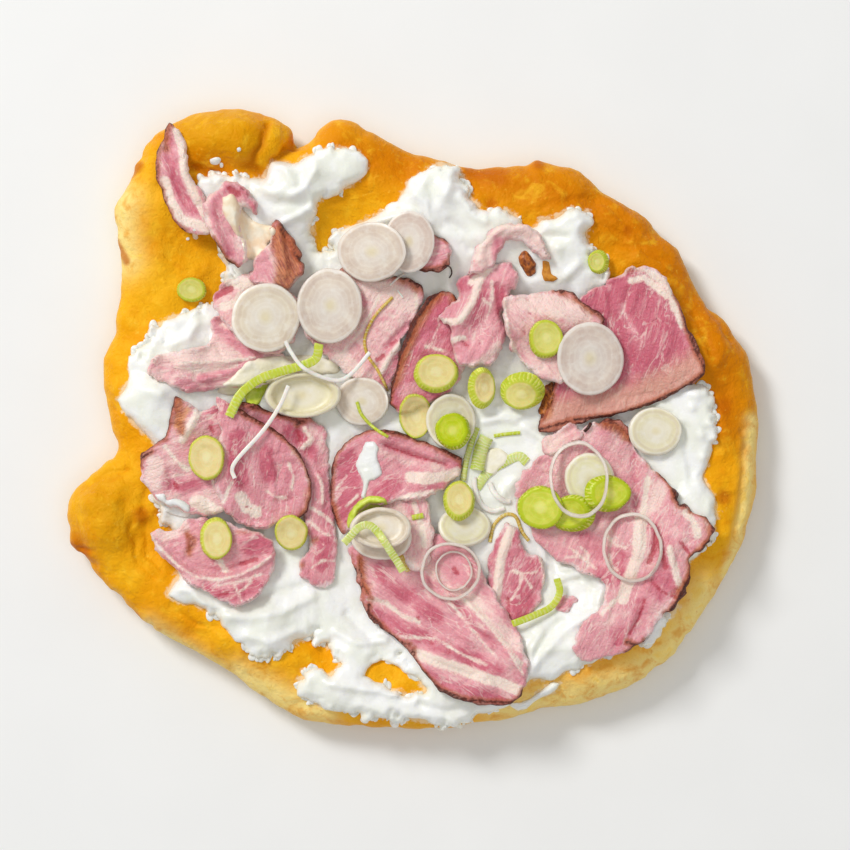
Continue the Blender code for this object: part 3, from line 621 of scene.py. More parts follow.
# %% Smooth, blister and colour the bread
def smooth_copy(name, levels):
    """A merged copy of a node with Subdivision Surface applied: its points, normals and faces."""
    body = bmesh.new()
    body.from_mesh(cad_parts[name].data)
    bmesh.ops.remove_doubles(body, verts=body.verts, dist=0.004 * MM)
    mesh = bpy.data.meshes.new("smooth")
    body.to_mesh(mesh)
    body.free()
    holder = bpy.data.objects.new("smooth", mesh)
    bpy.context.scene.collection.objects.link(holder)
    surface = holder.modifiers.new("smooth", "SUBSURF")
    surface.levels = levels
    surface.render_levels = levels
    shown = holder.evaluated_get(bpy.context.evaluated_depsgraph_get())
    result = bpy.data.meshes.new_from_object(shown)
    points, faces = read_mesh(result)
    normals = np.array([tuple(point.normal) for point in result.vertices])
    bpy.data.objects.remove(holder, do_unlink=True)
    return points, normals, faces


def cream_stretches():
    """The outlines of all the cream, seen from above."""
    return np.vstack([Solid(name).outline() for name in CREAM_NAMES])


def make_bread():
    points, normals, faces = smooth_copy("bread", levels=3)
    x, y, z = points.T
    marks = read_marks(BREAD_MARKS)
    draw = np.random.default_rng(BLISTER_SEED)
    push = layered_noise(x, y, SWELLINGS)
    for px, py in draw.uniform(-BREAD_HALF, BREAD_HALF, (BLISTER_COUNT, 2)):
        reach = draw.uniform(*BLISTER_REACH)
        push += BLISTER_RISE * np.exp(-(np.hypot(x - px, y - py) / reach) ** 2)
    wander_x = x + WRINKLE_WANDER * soft_noise(x, y, 4.0, 8)
    wander_y = y + WRINKLE_WANDER * soft_noise(x, y, 4.0, 9)
    push += marked_relief(wander_x, wander_y, marks, WRINKLE_RISES)
    push += marked_relief(x, y, marks, CRUST_RISES)
    freedom = np.clip(z / STUCK_HEIGHT, 0.0, 1.0)
    points = points + normals * (push * freedom)[:, None]
    points[:, 2] = np.maximum(points[:, 2], 0.0)
    values = {kind: hump_of(x, y, marks, kind, softness) for kind, softness in TINT_SOFTNESS.items()}
    values["crease"] = hump_of(wander_x, wander_y, marks, "crease", WRINKLE_RISES["crease"][1])
    for kind in ("brown", "crease"):
        values[kind] = values[kind] * np.clip(normals[:, 2] * 3, 0.0, 1.0)
    values["waist"] = np.clip((WAIST_HEIGHT - z) / WAIST_FADE, 0.0, 1.0) * (normals[:, 2] > -0.9)
    values["near_cream"] = -depth_inside(x, y, cream_stretches())
    return make_piece("bread_crust", points, faces, crust_finish(), "crust", values, sharp=80)


bread = make_bread()
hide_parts("bread")
print("bread faces", len(bread.data.polygons))

# %% [markdown]
# ## The sour cream
# Cream is spread with the back of a spoon: it has torn, lacy edges, soft swirls, ridges where the
# spoon left it and small lumps. The outline is roughened with noise of several sizes, the edge thins
# out onto the crust, and the swirls are noise that is first bent by broader noise.

# %% Where the spoon left ridges and hollows
CREAM_MARKS = """
    fold 2.6 11.5,88 12.4,83.5; 0.8 17.4,79.9 21,74.5 26.4,70.9; 0.9 0.3,80.8 4.8,77.2 6.6,70.9;
        0.5 -2.4,73.6 -7.8,71.8 -13.2,70.9; 0.6 -46.5,70.4 -37.5,74.3 -33,79;
        0.8 -77.1,86.2 -68.1,86.4 -58.2,87.1 -51,85.3; 0.7 -51,92.5 -45.6,89.8 -42,84.4;
        0.7 -34.8,88.9 -38.4,82.6 -42.9,79.9; 0.8 -92.4,29.5 -86.1,26.8 -79.8,29.5 -77.1,34.9;
        1.2 -99.6,13.3 -95.1,10.6 -89.7,9.7; 0.6 -87.9,21.4 -84.3,18.7 -83.4,14.2;
        1 -71.6,-69.9 -58.9,-70.9 -46.1,-68.8 -35.6,-63.5; 0.8 -58.9,-77.3 -50.4,-79.4 -41.9,-76.2;
        0.5 -85.3,-60.4 -79,-61.4 -73.7,-66.7; 0.8 42.6,-90.2 48.6,-81.8 55.8,-74.6 66.6,-68.6;
        0.7 53.4,-57.8 60.6,-55.4 67.8,-60.2 66.6,-66.2; 1.2 -1.8,-107 10.2,-109.4 19.8,-107;
        1.3 102,8.8; 1 105.6,9.7; 1.1 103.8,-5.6; 1.1 106.7,-1.6; 1.6 107.4,-31.3; 0.9 100.2,4.3;
        1 104.7,-13.7; 1 52.9,72.5 58.6,73.6; 1 61.9,70.2; 0.9 51.8,61.2; 0.9 59.7,55.6 55.2,51.1;
        0.9 64.2,62.3; 0.9 40.5,-2.7 47,-6.8 48.6,-13.3; 0.8 55.2,-53.4 60.9,-52.6 66.6,-56.7;
        0.6 26,-0.9 31.8,0.5 37.5,-0.2; 0.6 31.1,4.1; 0.7 33.2,1.9 39,1.2;
        0.6 -27.4,-76.2 -19.4,-80.2 -9.4,-79.2; 0.7 -29.4,-94.2 -19.4,-96.2 -9.4,-97.2 0.6,-99.2;
        0.6 46.6,-76.2 42.6,-82.2 42.6,-90.2
    dip 0.9 6.1,82.6 10.2,76.3 11.1,69.1; 0.6 12.9,70.9 19.2,66.4 21,61;
        1 -58.2,82.6 -49.2,77.2 -38.4,77.2; 0.8 -89.7,33.1 -84.3,31.3 -80.7,34;
        0.8 -99.6,17.8 -93.3,16 -87.9,16; 1 -63.1,-66.7 -52.5,-62.5 -39.8,-60.4;
        0.9 43.8,-85.4 47.4,-78.2 53.4,-72.2; 0.6 3,-102.2 12.6,-104.6 18.6,-103.4;
        0.8 97.5,-2.9 98.4,-12.8 100.2,-20.9; 0.6 47.3,65.7 55.2,65.2;
        0.8 56,-57.5 62.5,-57.5 66.6,-60.8; 0.6 -23.4,-70.2 -17.4,-76.2 -9.4,-85.2;
        0.7 46.6,-83.2 44.6,-90.2"""
CREAM_RISES = {"fold": (1.4, 0.8), "dip": (-1.2, 0.8)}
SWIRL_BEND = 6.0             # mm that broad noise bends the swirls
CREAM_STEP = 0.84            # mm between the points of the large spread
DAB_STEP = 0.6
THINNEST_CREAM = 0.3
LOW_GROUND = 8.0             # mm, the height taken where no piece lies below
print("marks on the cream", {kind: len(found) for kind, found in read_marks(CREAM_MARKS).items()})


# %% Make the cream
def drop(tree, x, y):
    """Height at which rays shot down meet a tree."""
    down = Vector((0, 0, -1))
    hits = [tree.ray_cast(Vector((px, py, ABOVE)), down)[0] for px, py in zip(x, y)]
    return np.array([LOW_GROUND if hit is None else hit.z for hit in hits])


def cream_ragged(x, y):
    """How far the torn edge runs out or back, in millimetres."""
    fray = np.clip(0.5 + soft_noise(x, y, 14.0, 24), 0.0, 1.0)
    fine = layered_noise(x, y, ((2.3, 3.1, 22), (1.4, 1.6, 23)))
    return 1.2 * soft_noise(x, y, 5.2, 21) + fray * fine - 0.2


def swirls(x, y):
    """Relief left by the spoon, in millimetres."""
    bend_x = x + SWIRL_BEND * soft_noise(x, y, 15.0, 31)
    bend_y = y + SWIRL_BEND * soft_noise(x, y, 15.0, 32)
    ridge = 1 - np.abs(soft_noise(bend_x, bend_y * 0.6, 9.0, 33)) * 2
    fine = 1 - np.abs(soft_noise(bend_x, bend_y * 0.4, 3.4, 34)) * 2
    relief = 0.75 * ridge + 0.14 * fine + 0.3 * soft_noise(x, y, 4.6, 35)
    return relief + marked_relief(x, y, read_marks(CREAM_MARKS), CREAM_RISES)


bread_tree = ray_tree([bread])


def cream_top(x, y, depth, top, sole):
    """Both sides of the cream: it follows the bread and is thin at its edge."""
    ground = drop(bread_tree, x, y)
    taper = np.clip(0.2 + depth / 3.2, 0.0, 1.0) ** 0.7
    body = np.maximum(top - ground, 0.6)
    upper = ground + body * taper + swirls(x, y) * np.clip(0.15 + depth / 4.0, 0.0, 1.0)
    upper = np.maximum(upper, ground + THINNEST_CREAM)
    return upper, np.minimum(ground - 0.5 * THINNEST_CREAM, upper - THINNEST_CREAM)


def cream_finish():
    finish = Finish("sour_cream", (242, 243, 232), Specular_IOR_Level=0.45, Subsurface_Weight=0.3,
                    Subsurface_Scale=0.003, Subsurface_Radius=(1.0, 0.94, 0.8))
    finish.paint(finish.step(finish.noise(9.0, 3.0), 0.35, 0.65), (252, 252, 247))
    edge = finish.attribute("edge") + (finish.noise(1.2, 3.0) - 0.5) * 1.6
    finish.paint(finish.step(edge, 1.0, -0.3) * 0.45, (248, 224, 172))
    rough = 0.2 + finish.noise(3.0) * 0.2
    normal = finish.bump(finish.noise(2.6, 3.0, 0.5, 0.6), 0.25)
    return finish.feed(Roughness=rough, Normal=normal)


CREAM = cream_finish()
creams = []
for cream_name in CREAM_NAMES:
    sheet_step = CREAM_STEP if cream_name == "cream" else DAB_STEP
    *cream_sheet, cream_depth = fine_sheet(Solid(cream_name), sheet_step, cream_ragged, cream_top)
    cream = make_piece(cream_name + "_spread", *cream_sheet, CREAM, "cream",
                       {"edge": cream_depth}, sharp=75)
    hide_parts(cream_name)
    creams.append(cream)
    print(cream.name, "faces", len(cream.data.polygons))

# %% [markdown]
# ## Frayed tongues of cream
# Where the spoon lifts off, cream tears into small tongues that point away from the spread. Python
# proposes places along the torn edge, more of them where it is frayed, and works out which way is
# outward. A Geometry Nodes tree lays a flattened blob on each place, turned outward, with a length
# and a width drawn from a fixed seed, and makes all of them one real mesh.

# %% The tree that scatters tongues
def start_tree(name, result, inputs):
    """A graph for a new Geometry Nodes tree, and a term for each of its named inputs."""
    tree = bpy.data.node_groups.new(name, "GeometryNodeTree")
    tree.is_modifier = True
    for label, kind in inputs.items():
        tree.interface.new_socket(name=label, in_out="INPUT", socket_type="NodeSocket" + kind)
    tree.interface.new_socket(name=result, in_out="OUTPUT", socket_type="NodeSocketGeometry")
    graph = Graph(tree)
    source = graph.node("NodeGroupInput")
    return graph, {socket.name: Term(graph, socket) for socket in source.outputs if socket.name}


def finish_tree(graph, geometry, material):
    """Make the geometry real, give it its finish and return the tree."""
    real = graph.term("GeometryNodeRealizeInstances", {}, {"Geometry": geometry})
    finished = graph.term("GeometryNodeSetMaterial", {}, {"Geometry": real, "Material": material})
    graph.node("NodeGroupOutput", {}, {0: finished})
    return graph.tree


def run_tree(tree, start, inputs):
    """Run a tree on an object and return the plain mesh that it makes."""
    modifier = start.modifiers.new("tree", "NODES")
    modifier.node_group = tree
    for item in tree.interface.items_tree:
        if item.name in inputs and item.in_out == "INPUT":
            modifier[item.identifier] = inputs[item.name]
    bpy.context.scene.collection.objects.link(start)
    shown = start.evaluated_get(bpy.context.evaluated_depsgraph_get())
    mesh = bpy.data.meshes.new_from_object(shown)
    bpy.data.objects.remove(start, do_unlink=True)
    return mesh


def tongue_tree():
    graph, given = start_tree("scatter_tongues", "Tongues", {
        "Places": "Geometry", "Shortest": "Float", "Longest": "Float", "Thickness": "Float",
        "Seed": "Int", "Finish": "Material"})

    def drawn(low, high, turn):
        """A value for each place, drawn between two bounds."""
        bounds = {2: low, 3: high, "Seed": given["Seed"] + turn}
        return graph.term("FunctionNodeRandomValue", {"data_type": "FLOAT"}, bounds, 1)

    blob = graph.term("GeometryNodeMeshIcoSphere", {}, {"Radius": 1.0, "Subdivisions": 3})
    length = drawn(given["Shortest"], given["Longest"], 0.0)
    width = length * drawn(0.35, 0.8, 1.0)
    outward = graph.term("GeometryNodeInputNamedAttribute", {"data_type": "FLOAT"}, {"Name": "outward"})
    turned = graph.combine(0.0, 0.0, outward + drawn(-1.0, 1.0, 2.0))
    placed = graph.term("GeometryNodeInstanceOnPoints", {}, {
        "Points": given["Places"], "Instance": blob, "Rotation": turned,
        "Scale": graph.combine(length, width, given["Thickness"])})
    return finish_tree(graph, placed, given["Finish"])


TONGUES = tongue_tree()
print("tongue tree nodes", len(TONGUES.nodes))

# %% Scatter the tongues along the cream's edge
TONGUE_TRIES = 4200
TONGUE_SEED = 12
TONGUE_STRAY = 1.3           # mm, how far places stray from the solid's outline
TONGUE_DEPTH = 1.1           # mm from the torn edge within which tongues are kept
PROBE = 0.6                  # mm to each side, to find which way is outward


def cream_reach(x, y, stretches):
    """Distance inward from the torn edge, negative outside it."""
    return depth_inside(x, y, stretches) + cream_ragged(x, y)


def tongue_places():
    """Places along the torn edge in millimetres, and the direction that leads away from the cream."""
    draw = np.random.default_rng(TONGUE_SEED)
    stretches = cream_stretches()
    length = np.hypot(*(stretches[:, 1] - stretches[:, 0]).T)
    chosen = stretches[draw.choice(len(stretches), TONGUE_TRIES, p=length / length.sum())]
    share = draw.uniform(0, 1, (TONGUE_TRIES, 1))
    spots = chosen[:, 0] + share * (chosen[:, 1] - chosen[:, 0])
    x, y = (spots + draw.normal(0, TONGUE_STRAY, (TONGUE_TRIES, 2))).T
    reach = cream_reach(x, y, stretches)
    slope_x = cream_reach(x + PROBE, y, stretches) - cream_reach(x - PROBE, y, stretches)
    slope_y = cream_reach(x, y + PROBE, stretches) - cream_reach(x, y - PROBE, stretches)
    frayed = 0.5 + soft_noise(x, y, 14.0, 24) + 0.8 * soft_noise(x, y, 4.0, 25)
    kept = (reach > 0.0) & (reach < TONGUE_DEPTH) & (frayed > draw.uniform(0.2, 1.3, TONGUE_TRIES))
    x, y, outward = x[kept], y[kept], np.arctan2(-slope_y, -slope_x)[kept]
    height = drop(bread_tree, x, y)
    on_bread = height > LOW_GROUND
    return np.column_stack([x, y, height + 0.25])[on_bread], outward[on_bread]


places, outward = tongue_places()
tongue_mesh = bpy.data.meshes.new("tongue_places")
tongue_mesh.from_pydata((places * MM).tolist(), [], [])
carried = tongue_mesh.attributes.new("outward", "FLOAT", "POINT")
carried.data.foreach_set("value", outward.astype(np.float32))
tongue_start = bpy.data.objects.new("tongue_places", tongue_mesh)
tongue_look = {"Shortest": 0.6 * MM, "Longest": 2.6 * MM, "Thickness": 0.55 * MM,
               "Seed": TONGUE_SEED, "Finish": CREAM}
tongue_points, tongue_faces = read_mesh(run_tree(TONGUES, tongue_start, tongue_look))
creams.append(make_piece("cream_tongues", tongue_points, tongue_faces, CREAM, "cream",
                         {"edge": np.full(len(tongue_points), 0.7)}))
print("tongues", len(places), "faces", len(tongue_faces))

# %% [markdown]
# ## The smoked ham
# Each slice shows lean meat with a grain, seams of white fat, a few deep red hollows, and a dark
# smoked rind along part of its edge. The finish is one material for all slices. What differs is
# drawn on each mesh as distances in millimetres: to the rind, to the seams of fat and to the
# hollows. A distance stays sharp when the shader turns it into a line, where a painted mask would
# blur between points.

# %% What is on each slice
# Each slice: how red it is, the direction of its grain in degrees, and its marks.
HAM_LOOKS = {
    "ham_back": (0.6, 75, """
        rind 0.55 -72.8,9.3 -66.2,7.5 -62.1,5.8 -55.6,4.2 -49.1,1.8 -42.5,0.1 -38.8,-1.1;
            0.45 -41.3,-1.9 -38,-0.3
        fat 0.8 -38.4,-3.2 -36,-7.2 -39.2,-10.1; 0.4 -33.5,-20.3 -31.9,-24.4 -32.3,-30.2;
            0.6 -36,-31.8 -31.9,-34.2 -27.4,-38.3; 0.4 -36.8,-36.7 -31.9,-40.8 -29.4,-41.6;
            0.3 -36,-53.1 -31.9,-50.6 -27.4,-51
        red 0.6 -41,-4 -40.5,-7.7; 0.2 -33.8,-18.5 -33.2,-19.2
        pale 1.6 -36,-3.2 -31.9,-9.7 -31.1,-15.4
        lean 1.6 -44.1,-4 -38.4,-8.9 -33.5,-13.8; 2.2 -31.1,-44.9 -31.9,-52.2
        roast 0.6 -43.7,-55.1 -39.6,-52.2; 0.5 -36.8,-44.1 -34.3,-43.2
        fold 0.9 -38.4,-3.2 -36,-7.2 -39.2,-10.1; 0.8 -33.5,-20.3 -31.9,-24.4 -32.3,-30.2
        dip 0.7 -41,-4 -40.5,-8.1 -36.8,-12.2"""),
    "ham_pale": (0.35, 20, """
        rind 0.4 -84.6,8.5 -86.5,3.8 -86.2,0.1 -87.7,-3.2; 0.5 -96.9,-14.8 -94.9,-12.6 -92.4,-11.3;
            0.5 -90,-7.7 -87.9,-7.1
        roast 1.6 -83,6.7 -83,0.9 -82.2,-4
        peach 1.2 -80,3.4 -83.8,-2.3
        lean 2 -71.1,5.8 -69.9,-3.2; 1.7 -85.9,-22.8 -80.1,-23.6 -73.6,-22.4
        red 0.6 -72,-2.7 -71,-4.4; 0.8 -84.6,-23 -84.1,-24.3
        fat 1.4 -74.4,11.6 -75.1,5 -77.7,-0.7 -81.8,-7.2; 0.7 -87.9,-9.7 -84.2,-14.6 -80.1,-17.9;
            2.6 -76.9,-29.3 -72.8,-31.8 -67.9,-34.2; 0.6 -71.1,-22 -67.9,-28.5
        pale 2.6 -91.6,-16.2 -92.4,-22.8
        fold 0.9 -74.4,11.6 -75.1,5 -77.7,-0.7 -81.8,-7.2; 1 -76.9,-29.3 -72.8,-31.8 -67.9,-34.2
        dip 0.7 -86.7,-17.9 -85.9,-23.6"""),
    "ham_round": (0.55, 78, """
        rind 0.55 -63,3.6 -55.6,-0.7 -49.1,-4.1 -44.1,-8.1 -39.2,-13.8 -36,-20.3 -35.5,-26.1 -36.8,-31
                -39.2,-35.2
        fat 0.5 -44.1,-9 -40.5,-13 -38,-16.2 -36.8,-21.2 -36.6,-23.6;
            2 -60.9,-27.7 -59.3,-31.4 -55.6,-33.4; 0.5 -67.2,-29.7 -65.8,-26.1 -64.2,-22.4;
            0.3 -51.7,-25.7 -49.1,-27.7 -45.4,-28.2; 0.25 -44.1,-15.8 -42.3,-20.3 -43.2,-25.2
        roast 0.5 -36.8,-25.2 -37.6,-31 -40.1,-34.7
        red 0.15 -59.5,-31.4 -58.5,-31 -57.6,-31.8; 0.1 -45.8,-28.9 -40.9,-27.9
        lean 2.4 -62.1,-6.4 -63,-14.6 -60.5,-22; 2.2 -52.3,-12.2 -50.7,-20.3
        dip 1 -63,-20.3 -58.9,-26.9 -52.3,-33.4
        fold 0.8 -52.3,-12.2 -49.1,-20.3 -49.1,-27.7"""),
    "ham_pleated": (0.15, 5, """
        lean 2 -70.4,34 -63.6,29 -56,22.7; 1.5 -74.4,14.2 -65.4,16.7 -58.2,20.3;
            1.3 -82.3,13.3 -78,11.3 -72.6,10.6
        fat 0.4 -82.5,20 -65.4,20.8 -56.4,22.1; 0.5 -84.3,18.5 -74.4,17.4 -62.7,19.2;
            0.8 -68.1,34 -63.6,32.2 -61.8,29
        pale 1.2 -83.4,21.4 -71.7,22.7 -62.7,22.7
        fold 0.7 -70.4,34 -63.6,29 -56,22.7; 0.6 -82.5,20 -65.4,20.8 -56.4,22.1;
            0.7 -74.4,14.2 -65.4,16.7 -58.2,20.3
        dip 0.6 -84.3,17.3 -74.4,16.2 -61.8,18.7"""),
    "ham_under_left": (0.25, 30, """
        red 1.2 -70.4,44.3 -67.7,45.7 -65,46.8
        lean 1 -71.3,48.4 -71.7,41.6; 1.6 -51,55.6 -48.3,51.1 -47,48.2;
            2 -41.6,35.8 -39.3,31.3 -34.8,27.7
        fat 2 -65.4,49.7 -59.1,48.8 -52.8,49.7; 1.6 -67.2,40.3 -62.7,42.1 -60.9,44.8
        dip 1 -70.4,44.3 -67.7,45.7 -65,46.8
        fold 0.9 -71.3,47.5 -69,48.8 -63.6,50.2"""),
    "ham_strip": (0.4, -68, """
        rind 0.1 -87,106.4 -89.3,101.5 -90.6,94.3 -90.9,86.2 -88.4,79 -86.6,72.7 -82.5,68.6
        lean 1.7 -87.5,99.7 -86.6,91.6 -84.3,84.4 -80.7,78.1 -77.6,75.4
        fat 1.6 -84.3,105.1 -81.8,97 -81.2,88 -77.1,79 -73.5,72.7;
            1.8 -88.4,85.3 -87,79 -82.5,71.8 -77.6,70 -73.1,68.2
        roast 0.9 -87.2,105.1 -88.4,97
        fold 1 -84.3,105.1 -81.8,97 -81.2,88 -77.1,79
        dip 0.9 -87.5,99.7 -86.6,91.6 -84.3,84.4 -80.7,78.1"""),
    "ham_loop": (0.3, -60, """
        rind -0.2 -69.9,63.2 -66.8,57.4 -62.7,52.9
        lean 1.2 -66.3,81.7 -70.8,76.3 -69.9,68.2 -65.4,59.2; 1.2 -60,82.6 -56.4,77.2 -54.6,74
        red 1.1 -64.5,82.1 -61.8,80.3
        fat 2 -61.4,75.4 -58.2,69.1 -54.6,61.9;
            0.5 -58.7,61.9 -59.6,56.5 -57.3,52.9 -53.7,55.1 -55.5,60.1
        pale 0.5 -68.1,82.6 -72.6,78.1 -72.8,71.8 -69,62.8
        fold 1 -65.4,83.5 -71.3,78.5 -70.8,70 -66.8,60.1; 0.8 -60,83.5 -56.4,78.1 -54.6,74.5
        dip 1.4 -61.4,75.4 -58.2,69.1 -55.5,62.8"""),
    "ham_roast": (0.5, -60, """
        roast 4.6 -46.5,64.6 -43.8,57.4 -44.3,49.3
        rind 0.4 -47.4,70 -45.2,64.6 -42,61 -39.8,56.5 -37.5,53.3; 0.6 -42.5,60.1 -40.7,57.4
        pale 0.8 -51,61.9 -49.2,56.5 -46.5,48.4
        fold 0.6 -47.4,68.2 -46.5,61 -44.7,52
        dip 0.5 -45.6,66.4 -43.8,59.2 -41.6,52.9"""),
    "ham_top": (0.25, 55, """
        rind 0.45 -4.4,50.9 -2,49.7 0.3,49.3 2.3,47.3; 0.25 -27.6,54.7 -24.9,53.8
        roast 0.4 -5.1,49.7 -0.6,48.2 2.1,45.7
        pale 3 -20.4,52 -15,46.6 -6,44.8 -0.6,42.1; 2 -24.9,21.4 -20.4,17.8
        fat 0.5 1.2,44.8 2.3,38.5; 0.9 -2.9,28.6 -7.4,23.6 -11,16.9; 0.4 -11.4,44.8 -16.8,34 -24,25
        red 0.8 -12.3,21.4 -10.1,23; 0.5 -7.4,26.8 -5.6,28.4
        lean 0.5 -1.5,33.5 -6,29.5 -8.7,25.9; 0.6 -20,51.1 -17.3,42.1;
            1.6 -11.4,14.2 -6.9,17.8 -5.1,21.4
        dip 0.7 -1.5,33.5 -6,29.5 -8.7,25.9; 0.8 -20,51.1 -17.3,42.1 -20.4,31.3
        fold 0.9 -2.9,28.6 -7.4,23.6 -11,16.9"""),
    "ham_rind": (0.78, 65, """
        rind 1 10.7,46.8 6.2,42.7 1.7,36.1 -1.6,28.8 -4.5,22.2 -6.1,15.7 -7.7,9.9 -8.3,5.4;
            0 16.8,44.7 17.2,41.4 15.6,38.6
        roast 1.4 10.3,45.5 6.6,41 2.5,34.5 -1.2,26.3 -3.6,19.8 -5.5,13.2; 1.2 14.8,45.1 15.2,41
        fat 0.2 7,26.7 8.6,30.8 10,34.5; 0.3 4.9,26.3 8.2,25.5 11.5,24.7
        lean 3 6.6,36.1 9.9,41
        pale 1.6 -3.2,9.9 3.3,12.4 9,14.8"""),
    "ham_dark": (0.6, 15, """
        rind 0.5 -1.2,57.8 0.9,54.5 4.1,53.5 8.2,53.9 11.9,54.5 12.3,56.4; 0 10.3,65.4 11.3,64.6
        red 0.9 3.3,65.6 4.9,62.3
        pale 0.7 2.5,59.8 7.4,61.1 11.5,61.5"""),
    "ham_marbled": (0.5, 70, """
        fat 1.3 6.2,35.7 12.3,34.5 17.2,35.3 21.3,41 23.4,47.2 25.4,51.7 27.9,54;
            1.2 21.3,49.2 23.8,50.8 27,53.7 29.5,55.3; 0.3 28.7,49.2 28.8,42.7 26.9,36.1;
            0.3 25.4,42.7 27.9,41 28.8,40.2; 0.8 11.9,23 12.3,26.3 15.6,28.8 18.9,29.2
        lean 1.6 17.2,48.4 20.1,48; 1.6 25.4,46.8 24.6,41 22.1,34.5; 1.2 31.1,46.8 31.5,39.4
        pale 0.9 31.5,27.1 27,21.8 21.3,18.9
        red 0.4 18.4,27.5 20.1,26.3; 0.2 18.9,32.8 19.3,32.5; 0.2 24.3,27.3 24.6,27
        fold 1 17.2,35.3 21.3,41 23.4,47.2 25.4,51.7 27.9,54
        dip 0.7 31.1,46.8 31.9,38.6 33.2,29.6; 0.6 18.4,27.5 20.1,26.3"""),
    "ham_arch": (0.3, 35, """
        pale 1.6 24.6,57 26.2,62.7 31.9,67.2 39.3,67.9 45,64.3 49,58.6
        lean 0.5 30.5,63.9 30.5,59 31.8,55.8; 3.4 31.9,52.1 35.2,52.5 38.1,50.8
        fat 0.5 23.4,57 25.2,63.1 31.1,68.4 39.3,69; 0.6 34,47.2 36.4,48.8 40.1,49.4
        red 0.5 32.8,50.8 36.9,48.8
        fold 1 24.6,57 26.2,62.7 31.9,67.2 39.3,67.9 45,64.3 49,58.6; 1.4 29.5,51.7 34.4,54 39.3,51.7
        dip 0.9 34.4,59.8 37.7,59"""),
    "ham_big": (0.92, 75, """
        fat 0.5 92.7,47.3 94,40.8 96,36.9; 0.7 81,53.9 86.2,52.6 91.4,48.6;
            1.3 85.3,52.3 91,48.4 93.8,40.5 96.6,33.8; 1.2 78.6,49.5 83.1,50.6 87.6,47.3 91,43.9;
            -0.1 77.5,46.1 75.8,38.8 78.6,32.6 82.5,29 80.8,21.4 78.4,18.6;
            -0.1 75.8,38.8 73,34.9 74.1,30.4
        lean 4 81,42.1 86.2,31.7 83.6,21.3; 3 65.4,44.7 75.8,46; 3 68.5,43.9 69.6,34.9 73,28.1;
            2.6 87.6,37.1 92.1,28.1 94.3,23.6
        rind 0.7 95.5,42.8 97.1,37.1 99.1,30.4 102.2,22.5 104.7,17.8;
            0.7 104.7,16.9 97.7,11.5 87.6,6.8 75.2,2 58.3,-0.2 44.8,-3.9;
            1.15 46.5,1.1 48.8,6.8 50.7,13.3
        tan 7 102.2,18 92.1,11.8 80.8,6.8 69.6,4 52.7,1.1 47.1,-1.1
        pale 1.4 77.5,46.1 75.8,38.8 78.6,32.6; 0.9 83.1,40.5 85.3,34.9 91,28.1 93.2,23.6;
            1.2 82.5,29 80.8,21.4
        roast 1.2 48.8,1.1 49.9,7.9; 0.8 75.2,52.9 78.6,54 82,54.6
        fold 0.8 69,45 69.6,37.1
        dip 0.8 77.5,46.1 75.8,38.8 78.6,32.6"""),
    "ham_folded": (0.25, -50, """
        rind 0.55 53.2,45.3 56.1,46.1 58.1,44.3 60.6,41.8; 0.55 56.1,46.1 60.6,42.2 64.5,38.8 68.7,36
        fat 0.7 34.4,47.2 32.8,42.7 33.2,36.1 34.4,29.6 37.7,23 40.9,18.1
        lean 1 37.7,46.8 40.9,43.9
        red 0.5 31.5,30.4 33.6,26.3 35.9,23; 0.3 40.1,31.6 40.3,30.4; 0.2 41.8,38.2 42.2,37.6
        roast 0.3 54.1,44.8 59.5,41.6 64,37.7
        pale 3 41.5,42.8 51.6,40.5 60.6,37.1
        fold 0.8 34.4,47.2 32.8,42.7 33.2,36.1 34.4,29.6 37.7,23
        dip 0.8 37.7,45.9 41.8,42.7"""),
    "ham_patch": (0.8, 60, """
        fat 0.3 35.6,-54.2 39.6,-55.2 45.1,-54.7; 0.35 39.6,-55.2 38.8,-60.2 35.6,-64.7;
            0.25 39.6,-55.2 42.8,-60.2; 1.7 35.6,-39.2 31.8,-50.2 30.8,-60.2 29.6,-67.2;
            0.8 44.6,-45.2 48.1,-54.2 47.4,-64.2
        lean 2.6 39.6,-62.2 39.6,-67.2
        red 0.5 34.6,-64.2 34.6,-70.2
        fold 1 35.6,-39.2 31.8,-50.2 30.8,-60.2 29.6,-67.2; 0.7 44.6,-45.2 48.1,-54.2 47.4,-64.2"""),
